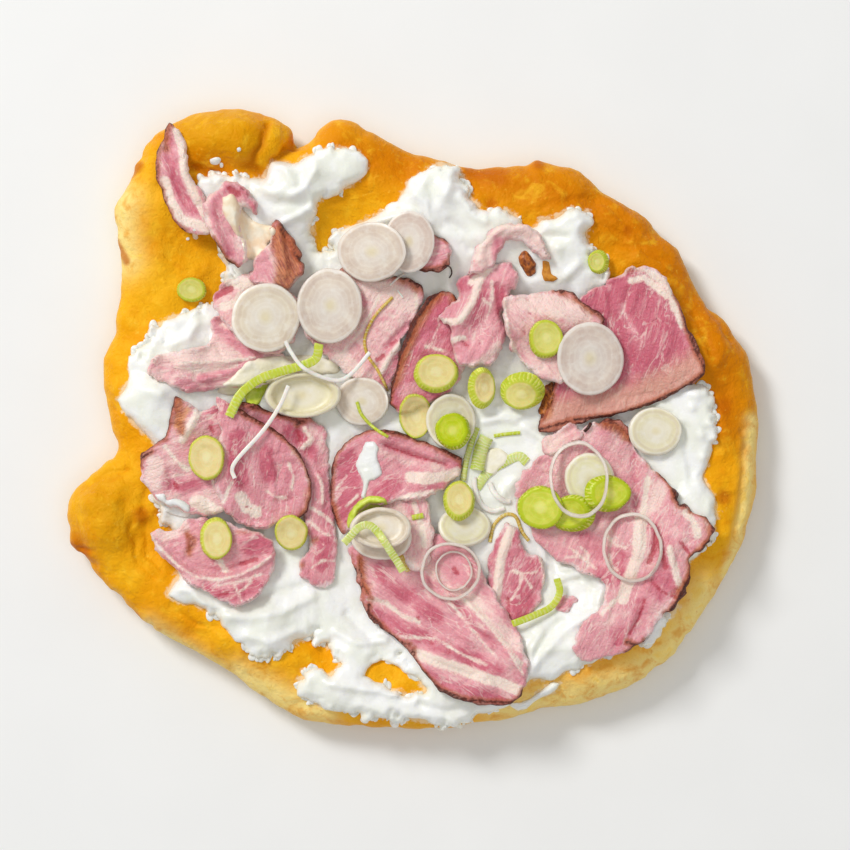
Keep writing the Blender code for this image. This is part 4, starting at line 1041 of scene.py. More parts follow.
    "ham_right": (0.4, 65, """
        lean 2.2 86.8,-35.9 88.4,-45 90.7,-54.1 92.3,-60.7; 1.6 81.6,-65.9 79,-73.7 73.8,-78.9;
            1.6 66.7,-54.1 70.6,-58.1; 1.7 73.6,-47.3 74.4,-54.2 74.8,-56.7; 2.5 62.5,-42.8 66.6,-47.7;
            1.5 91.2,-42.8 90.4,-50.9 87.9,-57.5; 1.5 84.6,-59.1 88.7,-63.2;
            0.3 79.6,-10.8 79.9,-24.8 80.5,-34.6; 1.2 72.1,-76.5 82.2,-72.2
        red 0.9 87.2,-38.5 88.9,-46.3 90.5,-52.8; 0.6 95.9,-43.7 98.8,-47.6; 0.6 92.6,-62.6 95.7,-64.3;
            0.4 83.2,-64.3 81,-71.1 77.7,-76.3; 0.9 87.5,-41.1 86.7,-46 84.6,-50.9;
            0.4 85.5,-57.5 88.7,-61.2 91.2,-62.4
        roast 0.8 99.8,-32.3 104.8,-34.9 106.1,-42.2 102.2,-46.1; 0.9 99.8,-49.7 98.5,-56.5 94.4,-61.7;
            0.8 91.2,-20.7 93.2,-24.8 94.5,-28.8; 1.4 69.5,-1.8 74,-3.1 76.6,-6.3
        rind 0.9 91.4,-19 93.3,-24.2 95.3,-30.5;
            1.1 95.9,-30.5 99.8,-29.7 104.4,-31.6 107.3,-35.5 107.4,-42.4 104.4,-45.3;
            1.1 101.4,-48.3 100.6,-54.1 97.9,-58.7 95.3,-63.9 92.7,-67.8;
            1 79,-82.8 82.3,-83 85.5,-81.9; 0.75 90.8,-18.4 93.6,-23.1 95.3,-28;
            0.85 95.3,-28.8 98.5,-28.8 102.2,-30.6 105.9,-33.8 107.5,-38.7 107.1,-43.6 103.5,-46.8
                100.2,-48.6 101.4,-53.4; 0.55 69.1,-0.9 72.8,-1.2 75.2,-3.1 77.3,-5.3;
            0.75 76.8,-79.4 82.2,-81.2 86.1,-83
        fat 2.2 81.8,-36.2 81.4,-42.8 80.5,-49.3 78.1,-55.8 75.2,-64; 1 84.6,-21.5 83.8,-28 82.2,-35.4;
            0.5 69.9,-41.5 73.2,-45.2 76.5,-46; 0.4 70.7,-48.5 71.5,-52.6 74,-54.2;
            0.3 56.8,-46 60.9,-49.3 65.8,-53.4; 0.25 60.9,-46 63.4,-48.5 63,-52.6;
            0.25 55.2,-49.3 60.9,-49.3; 1.1 92,-46 93.6,-53.4 96.1,-60.8;
            1.3 97.7,-32.9 100.2,-36.2 101.8,-41.1; 0.6 67.8,-69.3 72.1,-65 76.8,-62.1
        pale 2.2 88.7,-23.9 87.1,-30.5 85.5,-34.6
        peach 1.6 85.9,-15.8 89.1,-18.6
        dip 0.7 79.6,-10.8 79.9,-24.8 80.5,-34.6; 0.6 87.5,-41.1 86.7,-46 84.6,-50.9 85.5,-57.5;
            0.8 99.4,-38.7 98.5,-44.4 97.7,-48.5
        fold 1 81.8,-36.2 81.4,-42.8 80.5,-49.3 78.1,-55.8; 0.9 92,-46 93.6,-53.4 96.1,-60.8"""),
    "ham_bottom": (0.45, -35, """
        rind 0.35 -18.9,-49.2 -18.6,-54.2 -17.2,-60.2 -14.4,-64.2;
            0.7 -15.4,-66.4 -15.4,-69.4 -10.4,-74.4 -5.4,-79.2 -0.9,-80.4;
            0.7 0.6,-82.2 1.1,-86.4 5.6,-91.7 10.6,-96.2 18.6,-99.4 26.6,-100.5 36.6,-100.9 39,-98.2
        roast 0.9 -18.4,-50.2 -17.6,-56.2 -15.9,-61.2
        fat 1.9 1.6,-83.7 10.6,-86.7 22.6,-90.7 32.6,-94.2 38.6,-96.7;
            0.7 -15.4,-64.4 -9.4,-65.4 -3.6,-70.2 2.6,-72.4;
            0.35 -4.4,-77.7 8.6,-78.2 18.6,-84.2 26.6,-87.4;
            0.45 18.6,-64.2 26.6,-72.2 34.6,-82.2 39.6,-90.7; 0.45 22.6,-65.7 30.6,-75.7 39.1,-86.7;
            0.3 12.6,-64.2 22.6,-76.2 30.6,-85.2
        lean 1.4 5.6,-91.2 13.6,-94.7 24.6,-97.7 32.6,-98.7;
            2 -13.4,-70.2 0.6,-76.7 14.6,-82.7 30.6,-90.2; 0.5 14.6,-64.2 22.6,-74.2 29.6,-80.2;
            2.2 -12.4,-54.2 -3.4,-62.2 8.6,-70.2
        pale 2.2 16.6,-61.2 26.6,-69.2 39.6,-81.2; 1.8 0.6,-44.2 3.6,-50.2 12.6,-59.2
        red 0.5 2.2,-70.8 2.6,-71.4; 0.35 6.8,-79.6 7.6,-80; 0.35 13.4,-82.2 14,-83;
            0.7 0.1,-49.2 0.8,-51.7; 0.8 15.2,-53.5 16.2,-55
        dip 0.5 -15.4,-65.2 -9.4,-66.2 -3.6,-71 2.6,-73.2; 0.5 14.6,-64.2 22.6,-74.2 29.6,-80.2;
            0.5 0.6,-83.2 12.6,-88.2 26.6,-93.2
        fold 0.6 18.6,-64.2 26.6,-72.2 34.6,-82.2 39.6,-90.7; 0.7 1.6,-50.2 12.6,-64.2 26.6,-76.2"""),
    "ham_peg": (0.2, 90, """
        fat 1 0.6,-30.2 3.6,-38.2 4.6,-45.2
        lean 1.6 1.6,-33.2 -0.4,-30.2"""),
    "ham_centre": (0.6, 35, """
        rind 0.45 -25.4,-8.7 -27.4,-12.2 -28.4,-20.2 -28.9,-29.2 -26.6,-40.7;
            0.55 -25.9,-8.2 -19.4,-4.7 -13.4,-3.5 -5.4,-5.2 3.6,-7.2 10.6,-11 17.8,-14.7
        roast 0.5 -27.9,-30.2 -26.4,-36.2 -25.4,-40.2
        lean 3.4 -23.4,-14.2 -22.4,-24.2 -21.4,-33.2; 2.6 -6.4,-23.2 -10.4,-27.2
        red 0.4 -9.4,-9.4 0.6,-13.2 12.6,-16.2
        pale 1.2 -11.4,-11.2 -0.4,-15.2 10.6,-17.4
        fat 2 -0.4,-20.7 5.6,-21.2 13.6,-20.2 16.6,-19.2; 0.8 -7.9,-30.2 -1.4,-27.4 10.6,-25.7;
            0.3 -27.4,-25.2 -23.4,-20.2; 0.3 -19.4,-27.2 -23.4,-31.2
        dip 0.6 -9.4,-9.4 0.6,-13.2 12.6,-16.2
        fold 0.9 -11.4,-6.2 -1.4,-9.7 10.6,-14.2"""),
    "ham_turned": (0.5, 20, """
        fat 0.45 -94.1,-40.8 -89.1,-46.7 -83.4,-52.2 -76.9,-56.2 -68.7,-57.2 -60.5,-55.2 -54.8,-52.2
                -50.5,-49; 0.9 -69.7,-48.6 -66.6,-53.9; 0.3 -70.3,-59.6 -62.1,-58.1 -54,-55.5;
            0.3 -64.6,-63.7 -58.9,-59.6 -57.2,-57.2; 0.3 -63,-59.6 -60.5,-64.5;
            0.3 -74.4,-58.8 -72.8,-65.3
        roast 0.7 -80,-40.8 -77.7,-43.4 -79.5,-48; 0.1 -62.1,-40.4 -55.6,-40 -49.7,-42
        rind 0 -80.3,-41.2 -79.5,-48.2
        lean 3 -58.1,-44.9 -53.1,-44.9; 1.8 -72.8,-61.2 -65.4,-63.7 -55.6,-59.6
        red 0.8 -60.9,-51.8 -55.6,-50; 0.5 -68.3,-62.4 -65.4,-61.7
        pale 2.4 -89.1,-40.8 -81.8,-38.3
        fold 0.7 -94.1,-40.8 -89.1,-46.7 -83.4,-52.2 -76.9,-56.2 -68.7,-57.2 -60.5,-55.2 -54.8,-52.2
                -50.5,-49
        dip 0.8 -80,-40.8 -77.7,-43.4 -79.5,-48; 0.8 -85.1,-48.2 -76.9,-53.1 -68.7,-54.3 -60.5,-52.2"""),
}
HAM_KINDS = ("rind", "roast", "tan", "peach", "fat", "pale", "lean", "red")
HAM_RISES = {"fold": (1.1, 0.5), "dip": (-0.9, 0.4), "rind": (0.3, 0.6), "red": (-0.35, 0.4)}
HAM_STEP = 0.66
SCALLOP = {"ham_right": 1.3, "ham_roast": 0.9, "ham_back": 0.7}    # mm, how wavy the rind is
PLAIN_SCALLOP = 0.35
RIND_WIDTH = 0.55            # mm inward from the edge of a slice, wherever a rind mark runs near it
THINNEST_HAM = 0.35
mark_counts = [len(found) for look in HAM_LOOKS.values() for found in read_marks(look[2]).values()]
print("slices", len(HAM_LOOKS), "marks on them", sum(mark_counts))


# %% The ham finish
def ham_finish():
    finish = Finish("smoked_ham", (248, 214, 205), Specular_IOR_Level=0.5, Subsurface_Weight=0.12,
                    Subsurface_Scale=0.0015)
    far = {kind: finish.attribute(kind) for kind in HAM_KINDS}
    tone, edge = finish.attribute("tone"), finish.attribute("edge")
    grain = finish.attribute("grain", "Vector")
    stretched = finish.vector_maths("MULTIPLY", {0: grain, 1: (0.10, 1.0, 1.0)})
    longer = finish.vector_maths("MULTIPLY", {0: grain, 1: (0.3, 1.0, 1.0)})
    fibre = finish.noise(0.8, 4.0, 0.65, 0.4, at=stretched)
    streak = finish.noise(2.4, 4.0, 0.6, 0.5, at=longer)
    vein = finish.noise(6.5, 3.0, 0.55, 1.4, at=longer)
    cloud = finish.noise(10.0, 3.0, 0.6, 0.6)
    patch = finish.noise(3.6, 4.0, 0.6, 0.8)
    fine = finish.noise(1.0, 3.0, 0.6)
    wander = (streak - 0.5) * 3.0 + (fine - 0.5) * 1.4
    paleness = finish.step(far["pale"] + wander, 1.6, -0.8)
    leanness = finish.step(far["lean"] + wander, 2.0, -0.8)
    clouding = (cloud - 0.5) * 0.9
    deepness = (tone + leanness * 0.4 - paleness * 0.35 + clouding + (patch - 0.5) * 0.6).clamp()
    finish.paint(finish.step(deepness, 0.0, 0.5), (232, 158, 166))
    finish.paint(finish.step(deepness, 0.45, 1.0), (206, 98, 118))
    finish.paint(finish.step(fibre, 0.5, 0.76) * 0.34, (248, 212, 204))
    finish.paint(finish.step(fibre, 0.48, 0.24) * 0.4, (202, 96, 115))
    veined = finish.step(finish.noise(13.0, 1.0), 0.42, 0.6)
    finish.paint(finish.step((vein - 0.5).size(), 0.035, 0.0) * veined * 0.5, (252, 230, 218))
    finish.paint(finish.step(streak, 0.58, 0.72) * 0.55, (250, 224, 212))
    fatty = finish.step(far["fat"] + wander * 0.8, 0.6, -0.5)
    finish.paint(fatty * 0.9, finish.mix(cloud, (255, 243, 228), (248, 220, 204)))
    hollow = finish.step(far["red"] + (fine - 0.5) * 1.6, 0.5, -0.4)
    finish.paint(hollow * 0.8, (184, 46, 66))
    tanned = finish.step(far["tan"] + (patch - 0.5) * 5.0, 3.5, -4.5)
    finish.paint(tanned * 0.75, (226, 172, 148))
    warm = finish.step(far["peach"] + (fine - 0.5) * 2.0, 1.0, -1.0)
    finish.paint(warm * 0.75, (240, 170, 112))
    seared = finish.step(far["roast"] + (patch - 0.5) * 3.0 + (fibre - 0.5) * 2.0, 1.8, -1.2)
    finish.paint(seared * 0.85, finish.mix(finish.step(fibre, 0.35, 0.65), (150, 66, 22), (214, 132, 72)))
    # The last 0.9 mm to the edge is painted lighter: partly fat along the cut, partly a painted highlight.
    finish.paint(finish.step(edge, 0.9, 0.1) * 0.3, (247, 216, 212))
    film = finish.step(edge + (cloud - 0.5) * 9.0 + (patch - 0.5) * 5.0, 1.2, -1.0)
    finish.paint(film * 0.5, (252, 238, 234))
    to_rind = far["rind"] + (fine - 0.5) * 1.4 + (patch - 0.5) * 1.6
    finish.paint(finish.step(to_rind, 1.3, 0.0) * 0.75, (176, 84, 40))
    dark = finish.mix(finish.step(fine, 0.4, 0.62), (104, 36, 14), (58, 18, 10))
    finish.paint(finish.step(to_rind, 0.1, -0.6), dark)
    rough = 0.24 + fine * 0.22 + finish.step(far["rind"], 1.5, 0.0) * 0.2
    normal = finish.bump(fibre, 0.35)
    normal = finish.bump(patch * 0.5 + fine * 0.5, 0.9, normal)
    return finish.feed(Roughness=rough, Normal=normal)


HAM = ham_finish()
print("ham finish nodes", len(HAM.node_tree.nodes))


# %% Cut the slices
def turned(x, y, turn):
    """Places measured along and across a direction, given as an angle."""
    return x * math.cos(turn) + y * math.sin(turn), -x * math.sin(turn) + y * math.cos(turn)


def make_slice(solid, tone, grain, text):
    seed = seed_of(solid.name)
    marks = read_marks(text)
    turn = math.radians(grain)

    def ragged(x, y):
        near_rind = np.clip(1.5 - reach_of(x, y, marks, "rind") / 2.0, 0.0, 1.0)
        scallop = SCALLOP.get(solid.name, PLAIN_SCALLOP) * soft_noise(x, y, 2.6, seed + 5) * near_rind
        torn = layered_noise(x, y, ((0.85, 3.6, seed), (0.45, 1.5, seed + 1)))
        return torn * (1 - 0.6 * near_rind) + scallop

    def shape_top(x, y, depth, top, sole):
        along, across = turned(x, y, turn)
        relief = 0.4 * soft_noise(along * 0.5, across, 5.0, seed) + 0.4 * soft_noise(x, y, 9.0, seed + 2)
        relief += 0.16 * soft_noise(along * 0.12, across, 0.9, seed + 3)
        valley = np.clip(1 - 5 * np.abs(soft_noise(along * 0.6, across, 8.0, seed + 6)), 0.0, 1.0)
        relief -= 0.55 * valley ** 2
        relief += marked_relief(x, y, marks, HAM_RISES)
        round_off = np.sqrt(np.clip(depth / 0.9, 0.0, 1.0))
        upper = sole + (top - sole) * (0.4 + 0.6 * round_off) + relief * (0.3 + 0.7 * round_off)
        return np.maximum(upper, sole + THINNEST_HAM), sole

    points, faces, depth = fine_sheet(solid, HAM_STEP, ragged, shape_top)
    x, y, z = points.T
    values = {kind: reach_of(x, y, marks, kind) for kind in HAM_KINDS}
    along_edge = np.maximum(depth - RIND_WIDTH, values["rind"] - 2.0)
    values["rind"] = np.minimum(values["rind"], along_edge)
    grain_place = np.column_stack([*turned(x, y, turn), z])
    values.update(tone=np.full(len(x), tone), grain=grain_place, edge=depth)
    return make_piece(solid.name + "_slice", points, faces, HAM, "ham", values, sharp=60)


slices = []
for ham_name, ham_look in HAM_LOOKS.items():
    slices.append(make_slice(Solid(ham_name), *ham_look))
    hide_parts(ham_name)
print("ham slices", len(slices), "faces", sum(len(piece.data.polygons) for piece in slices))

# %% [markdown]
# ## Rounds, rings and cups of onion
# All cut onion repeats one idea: a profile turned round a middle, never quite round. Python draws
# the profile unrolled, as a strip whose first direction runs round the cut edge and whose second
# direction will go round the slice. A Geometry Nodes tree rolls the strip up, makes it uneven from
# a fixed seed, and raises the fine steps between the layers. The rolled slice is then bent onto
# its solid, so that it lies on the ham and cream as the solid does.

# %% The onion finishes
def onion_finish(name, alpha):
    finish = Finish(name, (236, 220, 205), Specular_IOR_Level=0.5, Subsurface_Weight=0.3,
                    Subsurface_Scale=0.002, Subsurface_Radius=(1.0, 0.94, 0.8), Alpha=alpha)
    share, turn = finish.attribute("share"), finish.attribute("turn")
    wobble = (finish.noise(6.0, 2.0) - 0.5) * 1.5
    phase = (share * finish.attribute("layers") + wobble).fraction()
    ray = finish.noise(0.5, 2.0, at=finish.combine(share * 1.5, turn * 26.0, 0.0))
    finish.paint(finish.step(finish.noise(5.0, 2.0), 0.3, 0.7), (218, 196, 182))
    finish.paint(finish.attribute("tone"), (240, 234, 184))
    finish.paint(finish.step((phase - 0.5).size(), 0.22, 0.5) * 0.24, (250, 242, 230))
    finish.paint(finish.step((phase - 0.42).size(), 0.16, 0.0) * 0.12, (208, 188, 170))
    finish.paint(finish.step(ray, 0.5, 0.8) * 0.3, (250, 243, 234))
    finish.paint(finish.step(finish.noise(3.0, 3.0), 0.5, 0.72) * 0.4, (252, 247, 238))
    loose, tight = share + wobble * 0.1, share + wobble * 0.04
    # Lighter towards the middle: partly the onion's own paler flesh, partly a painted highlight.
    finish.paint(finish.step(loose, 0.8, 0.3) * 0.5, (247, 240, 230))
    finish.paint(finish.step(loose, 0.3, 0.0) * 0.6, (232, 216, 164))
    finish.paint(finish.step((tight - 0.83).size(), 0.1, 0.0) * 0.3, (208, 188, 176))
    finish.paint(finish.step(tight, 0.9, 0.95) * 0.5, (252, 246, 238))
    normal = finish.bump(finish.noise(3.4, 3.0), 0.35)
    return finish.feed(Roughness=0.28 + finish.noise(2.0) * 0.16, Normal=normal)


def green_finish():
    finish = Finish("green_onion", (232, 208, 144), Specular_IOR_Level=0.4,
                    Specular_Tint=(1.0, 1.0, 0.5, 1.0), Subsurface_Weight=0.2, Subsurface_Scale=0.002)
    share, turn = finish.attribute("share"), finish.attribute("turn")
    tone = finish.attribute("tone")
    wobble = (finish.noise(3.5, 2.0) - 0.5) * 1.2
    phase = (share * finish.attribute("layers") * 1.3 + wobble).fraction()
    cloud = finish.step(finish.noise(3.0, 2.0), 0.35, 0.65)
    heart = finish.step(share + wobble * 0.16, 0.4, 0.12)
    line = finish.step((phase - 0.5).size(), 0.3, 0.5)
    rim = finish.step(share + wobble * 0.05, 0.86 - tone * 0.14, 0.95 - tone * 0.1)
    tick = finish.step((turn * 30.0 + wobble * 1.7).fraction(), 0.3, 0.9)
    tick = tick * finish.step(finish.noise(1.6), 0.3, 0.6)
    wall = finish.step(share, 0.955, 0.985)
    finish.paint(tone, (192, 208, 14))
    finish.paint(cloud * 0.6, finish.mix(tone, (238, 224, 160), (220, 222, 80)))
    finish.paint(heart * 0.6, finish.mix(tone, (244, 234, 186), (234, 232, 128)))
    finish.paint(line * 0.2, finish.mix(tone, (246, 236, 186), (226, 228, 100)))
    finish.paint(rim * 0.85, finish.mix(tone, (204, 208, 72), (176, 196, 0)))
    skin = finish.mix(tick * 0.85, finish.mix(tone, (196, 206, 60), (170, 190, 0)), (232, 232, 126))
    finish.paint(wall, skin)
    normal = finish.bump(tick * wall, 0.05)
    normal = finish.bump(finish.noise(2.4, 3.0), 0.3, normal)
    return finish.feed(Roughness=0.22 + finish.noise(2.0) * 0.16, Normal=normal)


WHITE_ONION = onion_finish("white_onion", alpha=0.9)
CLEAR_ONION = onion_finish("clear_onion", alpha=0.7)
GREEN_ONION = green_finish()
print("onion finish nodes", len(WHITE_ONION.node_tree.nodes), len(GREEN_ONION.node_tree.nodes))


# %% The tree that rolls a strip into a slice
def stored(graph, geometry, name, value):
    """Geometry that carries a value on each of its points."""
    settings = {"data_type": "FLOAT", "domain": "POINT"}
    inputs = {"Geometry": geometry, "Name": name, "Value": value}
    return graph.term("GeometryNodeStoreNamedAttribute", settings, inputs)


def rolling_tree():
    graph, given = start_tree("roll_into_slice", "Slice", {
        "Strip": "Geometry", "Half width": "Float", "Half depth": "Float", "Unevenness": "Float",
        "Layers": "Float", "Layer step": "Float", "Seed": "Float", "Thickness": "Float",
        "Shrink": "Float", "Lean": "Vector", "Finish": "Material"})
    share, turn, height = graph.separate(graph.term("GeometryNodeInputPosition"))
    angle = turn * (2 * math.pi)
    around = graph.combine(angle.cosine() + given["Seed"], angle.sine() + given["Seed"], 0.0)
    noise = graph.term("ShaderNodeTexNoise", {}, {"Vector": around, "Scale": 0.9, "Detail": 2.0})
    rise = (height / given["Thickness"]).clamp()
    radius = share * (1 + (noise - 0.5) * given["Unevenness"]) * (1 - given["Shrink"] * rise)
    steps = (share * given["Layers"] * (2 * math.pi)).sine() * given["Layer step"] * rise
    rolled = graph.combine(radius * angle.cosine() * given["Half width"],
                           radius * angle.sine() * given["Half depth"], height + steps)
    leaning = graph.vector_maths("SCALE", {0: given["Lean"], "Scale": rise})
    rolled = graph.vector_maths("ADD", {0: rolled, 1: leaning})
    kept = stored(graph, stored(graph, given["Strip"], "share", share), "turn", turn)
    moved = graph.term("GeometryNodeSetPosition", {}, {"Geometry": kept, "Position": rolled})
    merged = graph.term("GeometryNodeMergeByDistance", {}, {"Geometry": moved, "Distance": 0.01 * MM})
    return finish_tree(graph, merged, given["Finish"])


ROLLING = rolling_tree()
print("rolling tree nodes", len(ROLLING.nodes))

# %% Profiles, unrolled
ROUND_TURNS = 72
PROFILE_POINTS = 44


def flat_profile(dish):
    """A flat slice that is dished in its middle, from there round the cut edge to the underside."""
    return [(0.0, dish), (0.45, dish), (0.85, 1.0), (0.95, 0.98), (1.0, 0.8), (1.0, 0.2), (0.96, 0.0),
            (0.0, 0.0)]


RING_PROFILE = [(0.89, 0.25), (0.89, 0.75), (0.91, 1.0), (0.98, 1.0), (1.0, 0.75), (1.0, 0.25),
                (0.98, 0.0), (0.91, 0.0), (0.89, 0.25)]
CUP_PROFILE = [(0.0, 0.34), (0.6, 0.34), (0.72, 0.45), (0.8, 0.9), (0.86, 1.0), (0.95, 0.95),
               (1.0, 0.7), (0.98, 0.25), (0.9, 0.0), (0.0, 0.0)]

# Each kind: its profile as shares of radius and thickness, thickness in mm, unevenness, finish, slot.
CUT_KINDS = {
    "white": (flat_profile(0.92), 1.5, 0.14, WHITE_ONION, "white_onion"),
    "green": (flat_profile(0.86), 2.2, 0.24, GREEN_ONION, "green_onion"),
    "thin": (flat_profile(0.86), 1.3, 0.2, GREEN_ONION, "green_onion"),
    "ring": (RING_PROFILE, 1.4, 0.2, CLEAR_ONION, "white_onion"),
    "cup": (CUP_PROFILE, 4.2, 0.16, WHITE_ONION, "white_onion"),
}


def unrolled_strip(corners, thickness):
    """A grid mesh: x is the share of the radius, y the share of a turn, z the height in metres."""
    corners = np.array(corners)
    length = np.concatenate([[0], np.cumsum(np.hypot(*np.diff(corners, axis=0).T))])
    stations = np.linspace(0, length[-1], PROFILE_POINTS)
    share = np.interp(stations, length, corners[:, 0])
    height = np.interp(stations, length, corners[:, 1]) * thickness * MM
    points = [(s, turn / ROUND_TURNS, h) for turn in range(ROUND_TURNS + 1) for s, h in zip(share, height)]
    starts = [turn * PROFILE_POINTS + spot
              for turn in range(ROUND_TURNS) for spot in range(PROFILE_POINTS - 1)]
    faces = [(a + PROFILE_POINTS, a + 1 + PROFILE_POINTS, a + 1, a) for a in starts]
    mesh = bpy.data.meshes.new("strip")
    mesh.from_pydata(points, [], faces)
    return bpy.data.objects.new("strip", mesh)


print("kinds of cut", {kind: len(cut[0]) for kind, cut in CUT_KINDS.items()})

# %% Bend the slices onto their solids
# Each slice: kind, layers, yellowness, and where needed how far its top leans in x and y, in mm, and
# how much smaller its top is.
ONION_LOOKS = {
    "onion_crescent": ("white", 5, 0.0),
    "onion_above": ("white", 6, 0.1, 0, 0, 0.04),
    "onion_left": ("white", 7, 0.3, 0, 0, 0.04),
    "onion_left_middle": ("white", 7, 0.1, 0, 0, 0.04),
    "onion_middle": ("white", 5, 0.2, 0, 0, 0.04),
    "onion_heart": ("white", 4, 0.7, 0, 0, 0.05),
    "onion_right": ("white", 6, 0.0, 0, 0, 0.04),
    "onion_far_right": ("white", 4, 0.7, 0.3, 0.3, 0.06),
    "onion_low_right": ("white", 3, 1.0, 0, 0, 0.05),
    "onion_low_middle": ("white", 3, 0.9, 0, 0.5, 0.08),
    "onion_low_left": ("white", 4, 0.2, 0, 0, 0.05),
    "cup_low_left": ("cup", 3, 0.3),
    "cup_middle": ("cup", 3, 0.8),
    "ring_low_right": ("ring", 9, 0.0),
    "ring_far_low_right": ("ring", 9, 0.0),
    "ring_bottom": ("ring", 9, 0.0),
    "green_far_left": ("thin", 3, 0.5, -0.3, 0.3, 0.06),
    "green_top_right": ("thin", 3, 0.5, -0.8, 0, 0.2),
    "green_middle": ("green", 3, 0.1, 0.2, 0.8, 0.13),
    "green_heart": ("green", 4, 1.0, -0.5, 0.6, 0.12),
    "green_leaning": ("green", 3, 0.05, 1.1, 0.2, 0.26),
    "green_middle_right": ("green", 3, 0.3, -0.7, -1.6, 0.28),
    "green_tucked": ("green", 4, 0.5, 0.3, 0.4, 0.08),
    "green_low_right": ("green", 3, 0.9, -1.5, 0.2, 0.2),
    "green_low_middle": ("green", 3, 0.8, 0, -0.2, 0.06),
    "green_low_far_right": ("green", 4, 0.9, 1.2, 0.1, 0.18),
    "green_low_centre": ("green", 3, 0.12, 0.1, 0.9, 0.16),
    "green_left": ("green", 2, 0.0, 0, 0.1, 0.06),
    "green_low_left": ("green", 3, 0.08, 0.5, -0.2, 0.1),
    "green_behind": ("green", 2, 0.05, 0, 0, 0.06),
}
LAYER_STEP = 0.03            # mm between one layer and the next
SMOOTHED_SHARE = 0.6         # of the height, taken from a smooth surface laid through the solid's sole


def make_round(solid, kind, layers, tone, lean_x=0.0, lean_y=0.0, shrink=0.0):
    corners, thickness, unevenness, material, slot = CUT_KINDS[kind]
    low, high = solid.points.min(axis=0), solid.points.max(axis=0)
    middle, half = 0.5 * (low + high), 0.5 * (high - low)
    settings = {"Half width": half[0] * MM, "Half depth": half[1] * MM, "Unevenness": unevenness,
                "Layers": float(layers), "Layer step": LAYER_STEP * MM, "Thickness": thickness * MM,
                "Seed": float(seed_of(solid.name) % 50), "Shrink": float(shrink),
                "Lean": (lean_x * MM, lean_y * MM, 0.0), "Finish": material}
    mesh = run_tree(ROLLING, unrolled_strip(corners, thickness), settings)
    points, faces = read_mesh(mesh)
    u, v, rise = points.T
    x, y = u + middle[0], v + middle[1]
    sole = solid.height(x, y, False)
    terms = np.column_stack([np.ones(len(x)), u, v, u ** 2, v ** 2, u * v])
    smooth_sole = terms @ np.linalg.lstsq(terms, sole, rcond=None)[0]
    z = rise + SMOOTHED_SHARE * smooth_sole + (1 - SMOOTHED_SHARE) * sole
    points = np.column_stack([x, y, z])
    values = {"layers": np.full(len(x), layers), "tone": np.full(len(x), tone),
              "share": read_values(mesh, "share"), "turn": read_values(mesh, "turn")}
    return make_piece(solid.name + "_cut", points, faces, material, slot, values, sharp=50)


rounds = []
for onion_name, onion_look in ONION_LOOKS.items():
    rounds.append(make_round(Solid(onion_name), *onion_look))
    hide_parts(onion_name)
print("onion pieces", len(rounds), "faces", sum(len(piece.data.polygons) for piece in rounds))

# %% [markdown]
# ## Curls of onion
# A curl is a thin strip of one layer, cut across and sprung open. It follows a path, so a second
# tree sweeps a flattened profile along a curve and keeps the distance along it, which the finish
# turns into the fine cross marks of the cut fibres.

# %% The tree that sweeps a curl
def curl_finish(name, first, second, marks, strength):
    """A finish of two tones, with so many cross marks for each millimetre."""
    finish = Finish(name, first, Specular_IOR_Level=0.5, Subsurface_Weight=0.2, Subsurface_Scale=0.001,
                    Alpha=0.9)
    along = finish.attribute("along") * (1 / MM)
    stray = finish.noise(2.2, 2.0)
    mark = finish.step((along * marks + stray * 1.6).fraction(), 0.4, 0.85) * finish.step(stray, 0.32, 0.6)
    finish.paint(finish.step(finish.noise(5.0, 2.0), 0.35, 0.65) * 0.6, second)
    finish.paint(mark * strength, (248, 246, 214))
    normal = finish.bump(finish.noise(1.8, 3.0), 0.3)
    return finish.feed(Roughness=0.25 + finish.noise(1.5) * 0.15, Normal=normal)


def sweeping_tree():
    graph, given = start_tree("sweep_a_curl", "Curl", {
        "Path": "Geometry", "Width": "Float", "Thickness": "Float", "Finish": "Material"})
    even = graph.term("GeometryNodeResampleCurve", {"mode": "LENGTH"}, {
        "Curve": given["Path"], "Length": 0.6 * MM})
    marked = stored(graph, even, "along", graph.term("GeometryNodeSplineParameter", {}, {}, "Length"))
    circle = graph.term("GeometryNodeCurvePrimitiveCircle", {"mode": "RADIUS"}, {
        "Resolution": 12, "Radius": 0.5})
    flat = graph.term("GeometryNodeTransform", {}, {
        "Geometry": circle, "Scale": graph.combine(given["Width"], given["Thickness"], 1.0)})
    share = graph.term("GeometryNodeSplineParameter", {}, {}, "Factor")
    taper = (share * 9.0).clamp() * ((1 - share) * 9.0).clamp()
    uneven = graph.term("ShaderNodeTexNoise", {}, {"Scale": 260.0, "Detail": 2.0})
    radius = (0.35 + taper * 0.5) + uneven * 0.4
    shaped = graph.term("GeometryNodeSetCurveRadius", {}, {"Curve": marked, "Radius": radius})
    upright = graph.term("GeometryNodeSetCurveNormal", {"mode": "Z_UP"}, {"Curve": shaped})
    swept = graph.term("GeometryNodeCurveToMesh", {}, {
        "Curve": upright, "Profile Curve": flat, "Fill Caps": True})
    return finish_tree(graph, swept, given["Finish"])


SWEEPING = sweeping_tree()
WHITE_CURL = curl_finish("white_curl", (254, 249, 242), (244, 234, 222), 0.5, 0.1)
GREEN_CURL = curl_finish("green_curl", (198, 212, 36), (216, 224, 80), 0.7, 0.28)
PALE_CURL = curl_finish("pale_curl", (200, 214, 84), (230, 234, 160), 0.9, 0.6)
OCHRE_CURL = curl_finish("ochre_curl", (214, 178, 62), (230, 200, 104), 0.8, 0.4)
print("sweeping tree nodes", len(SWEEPING.nodes))

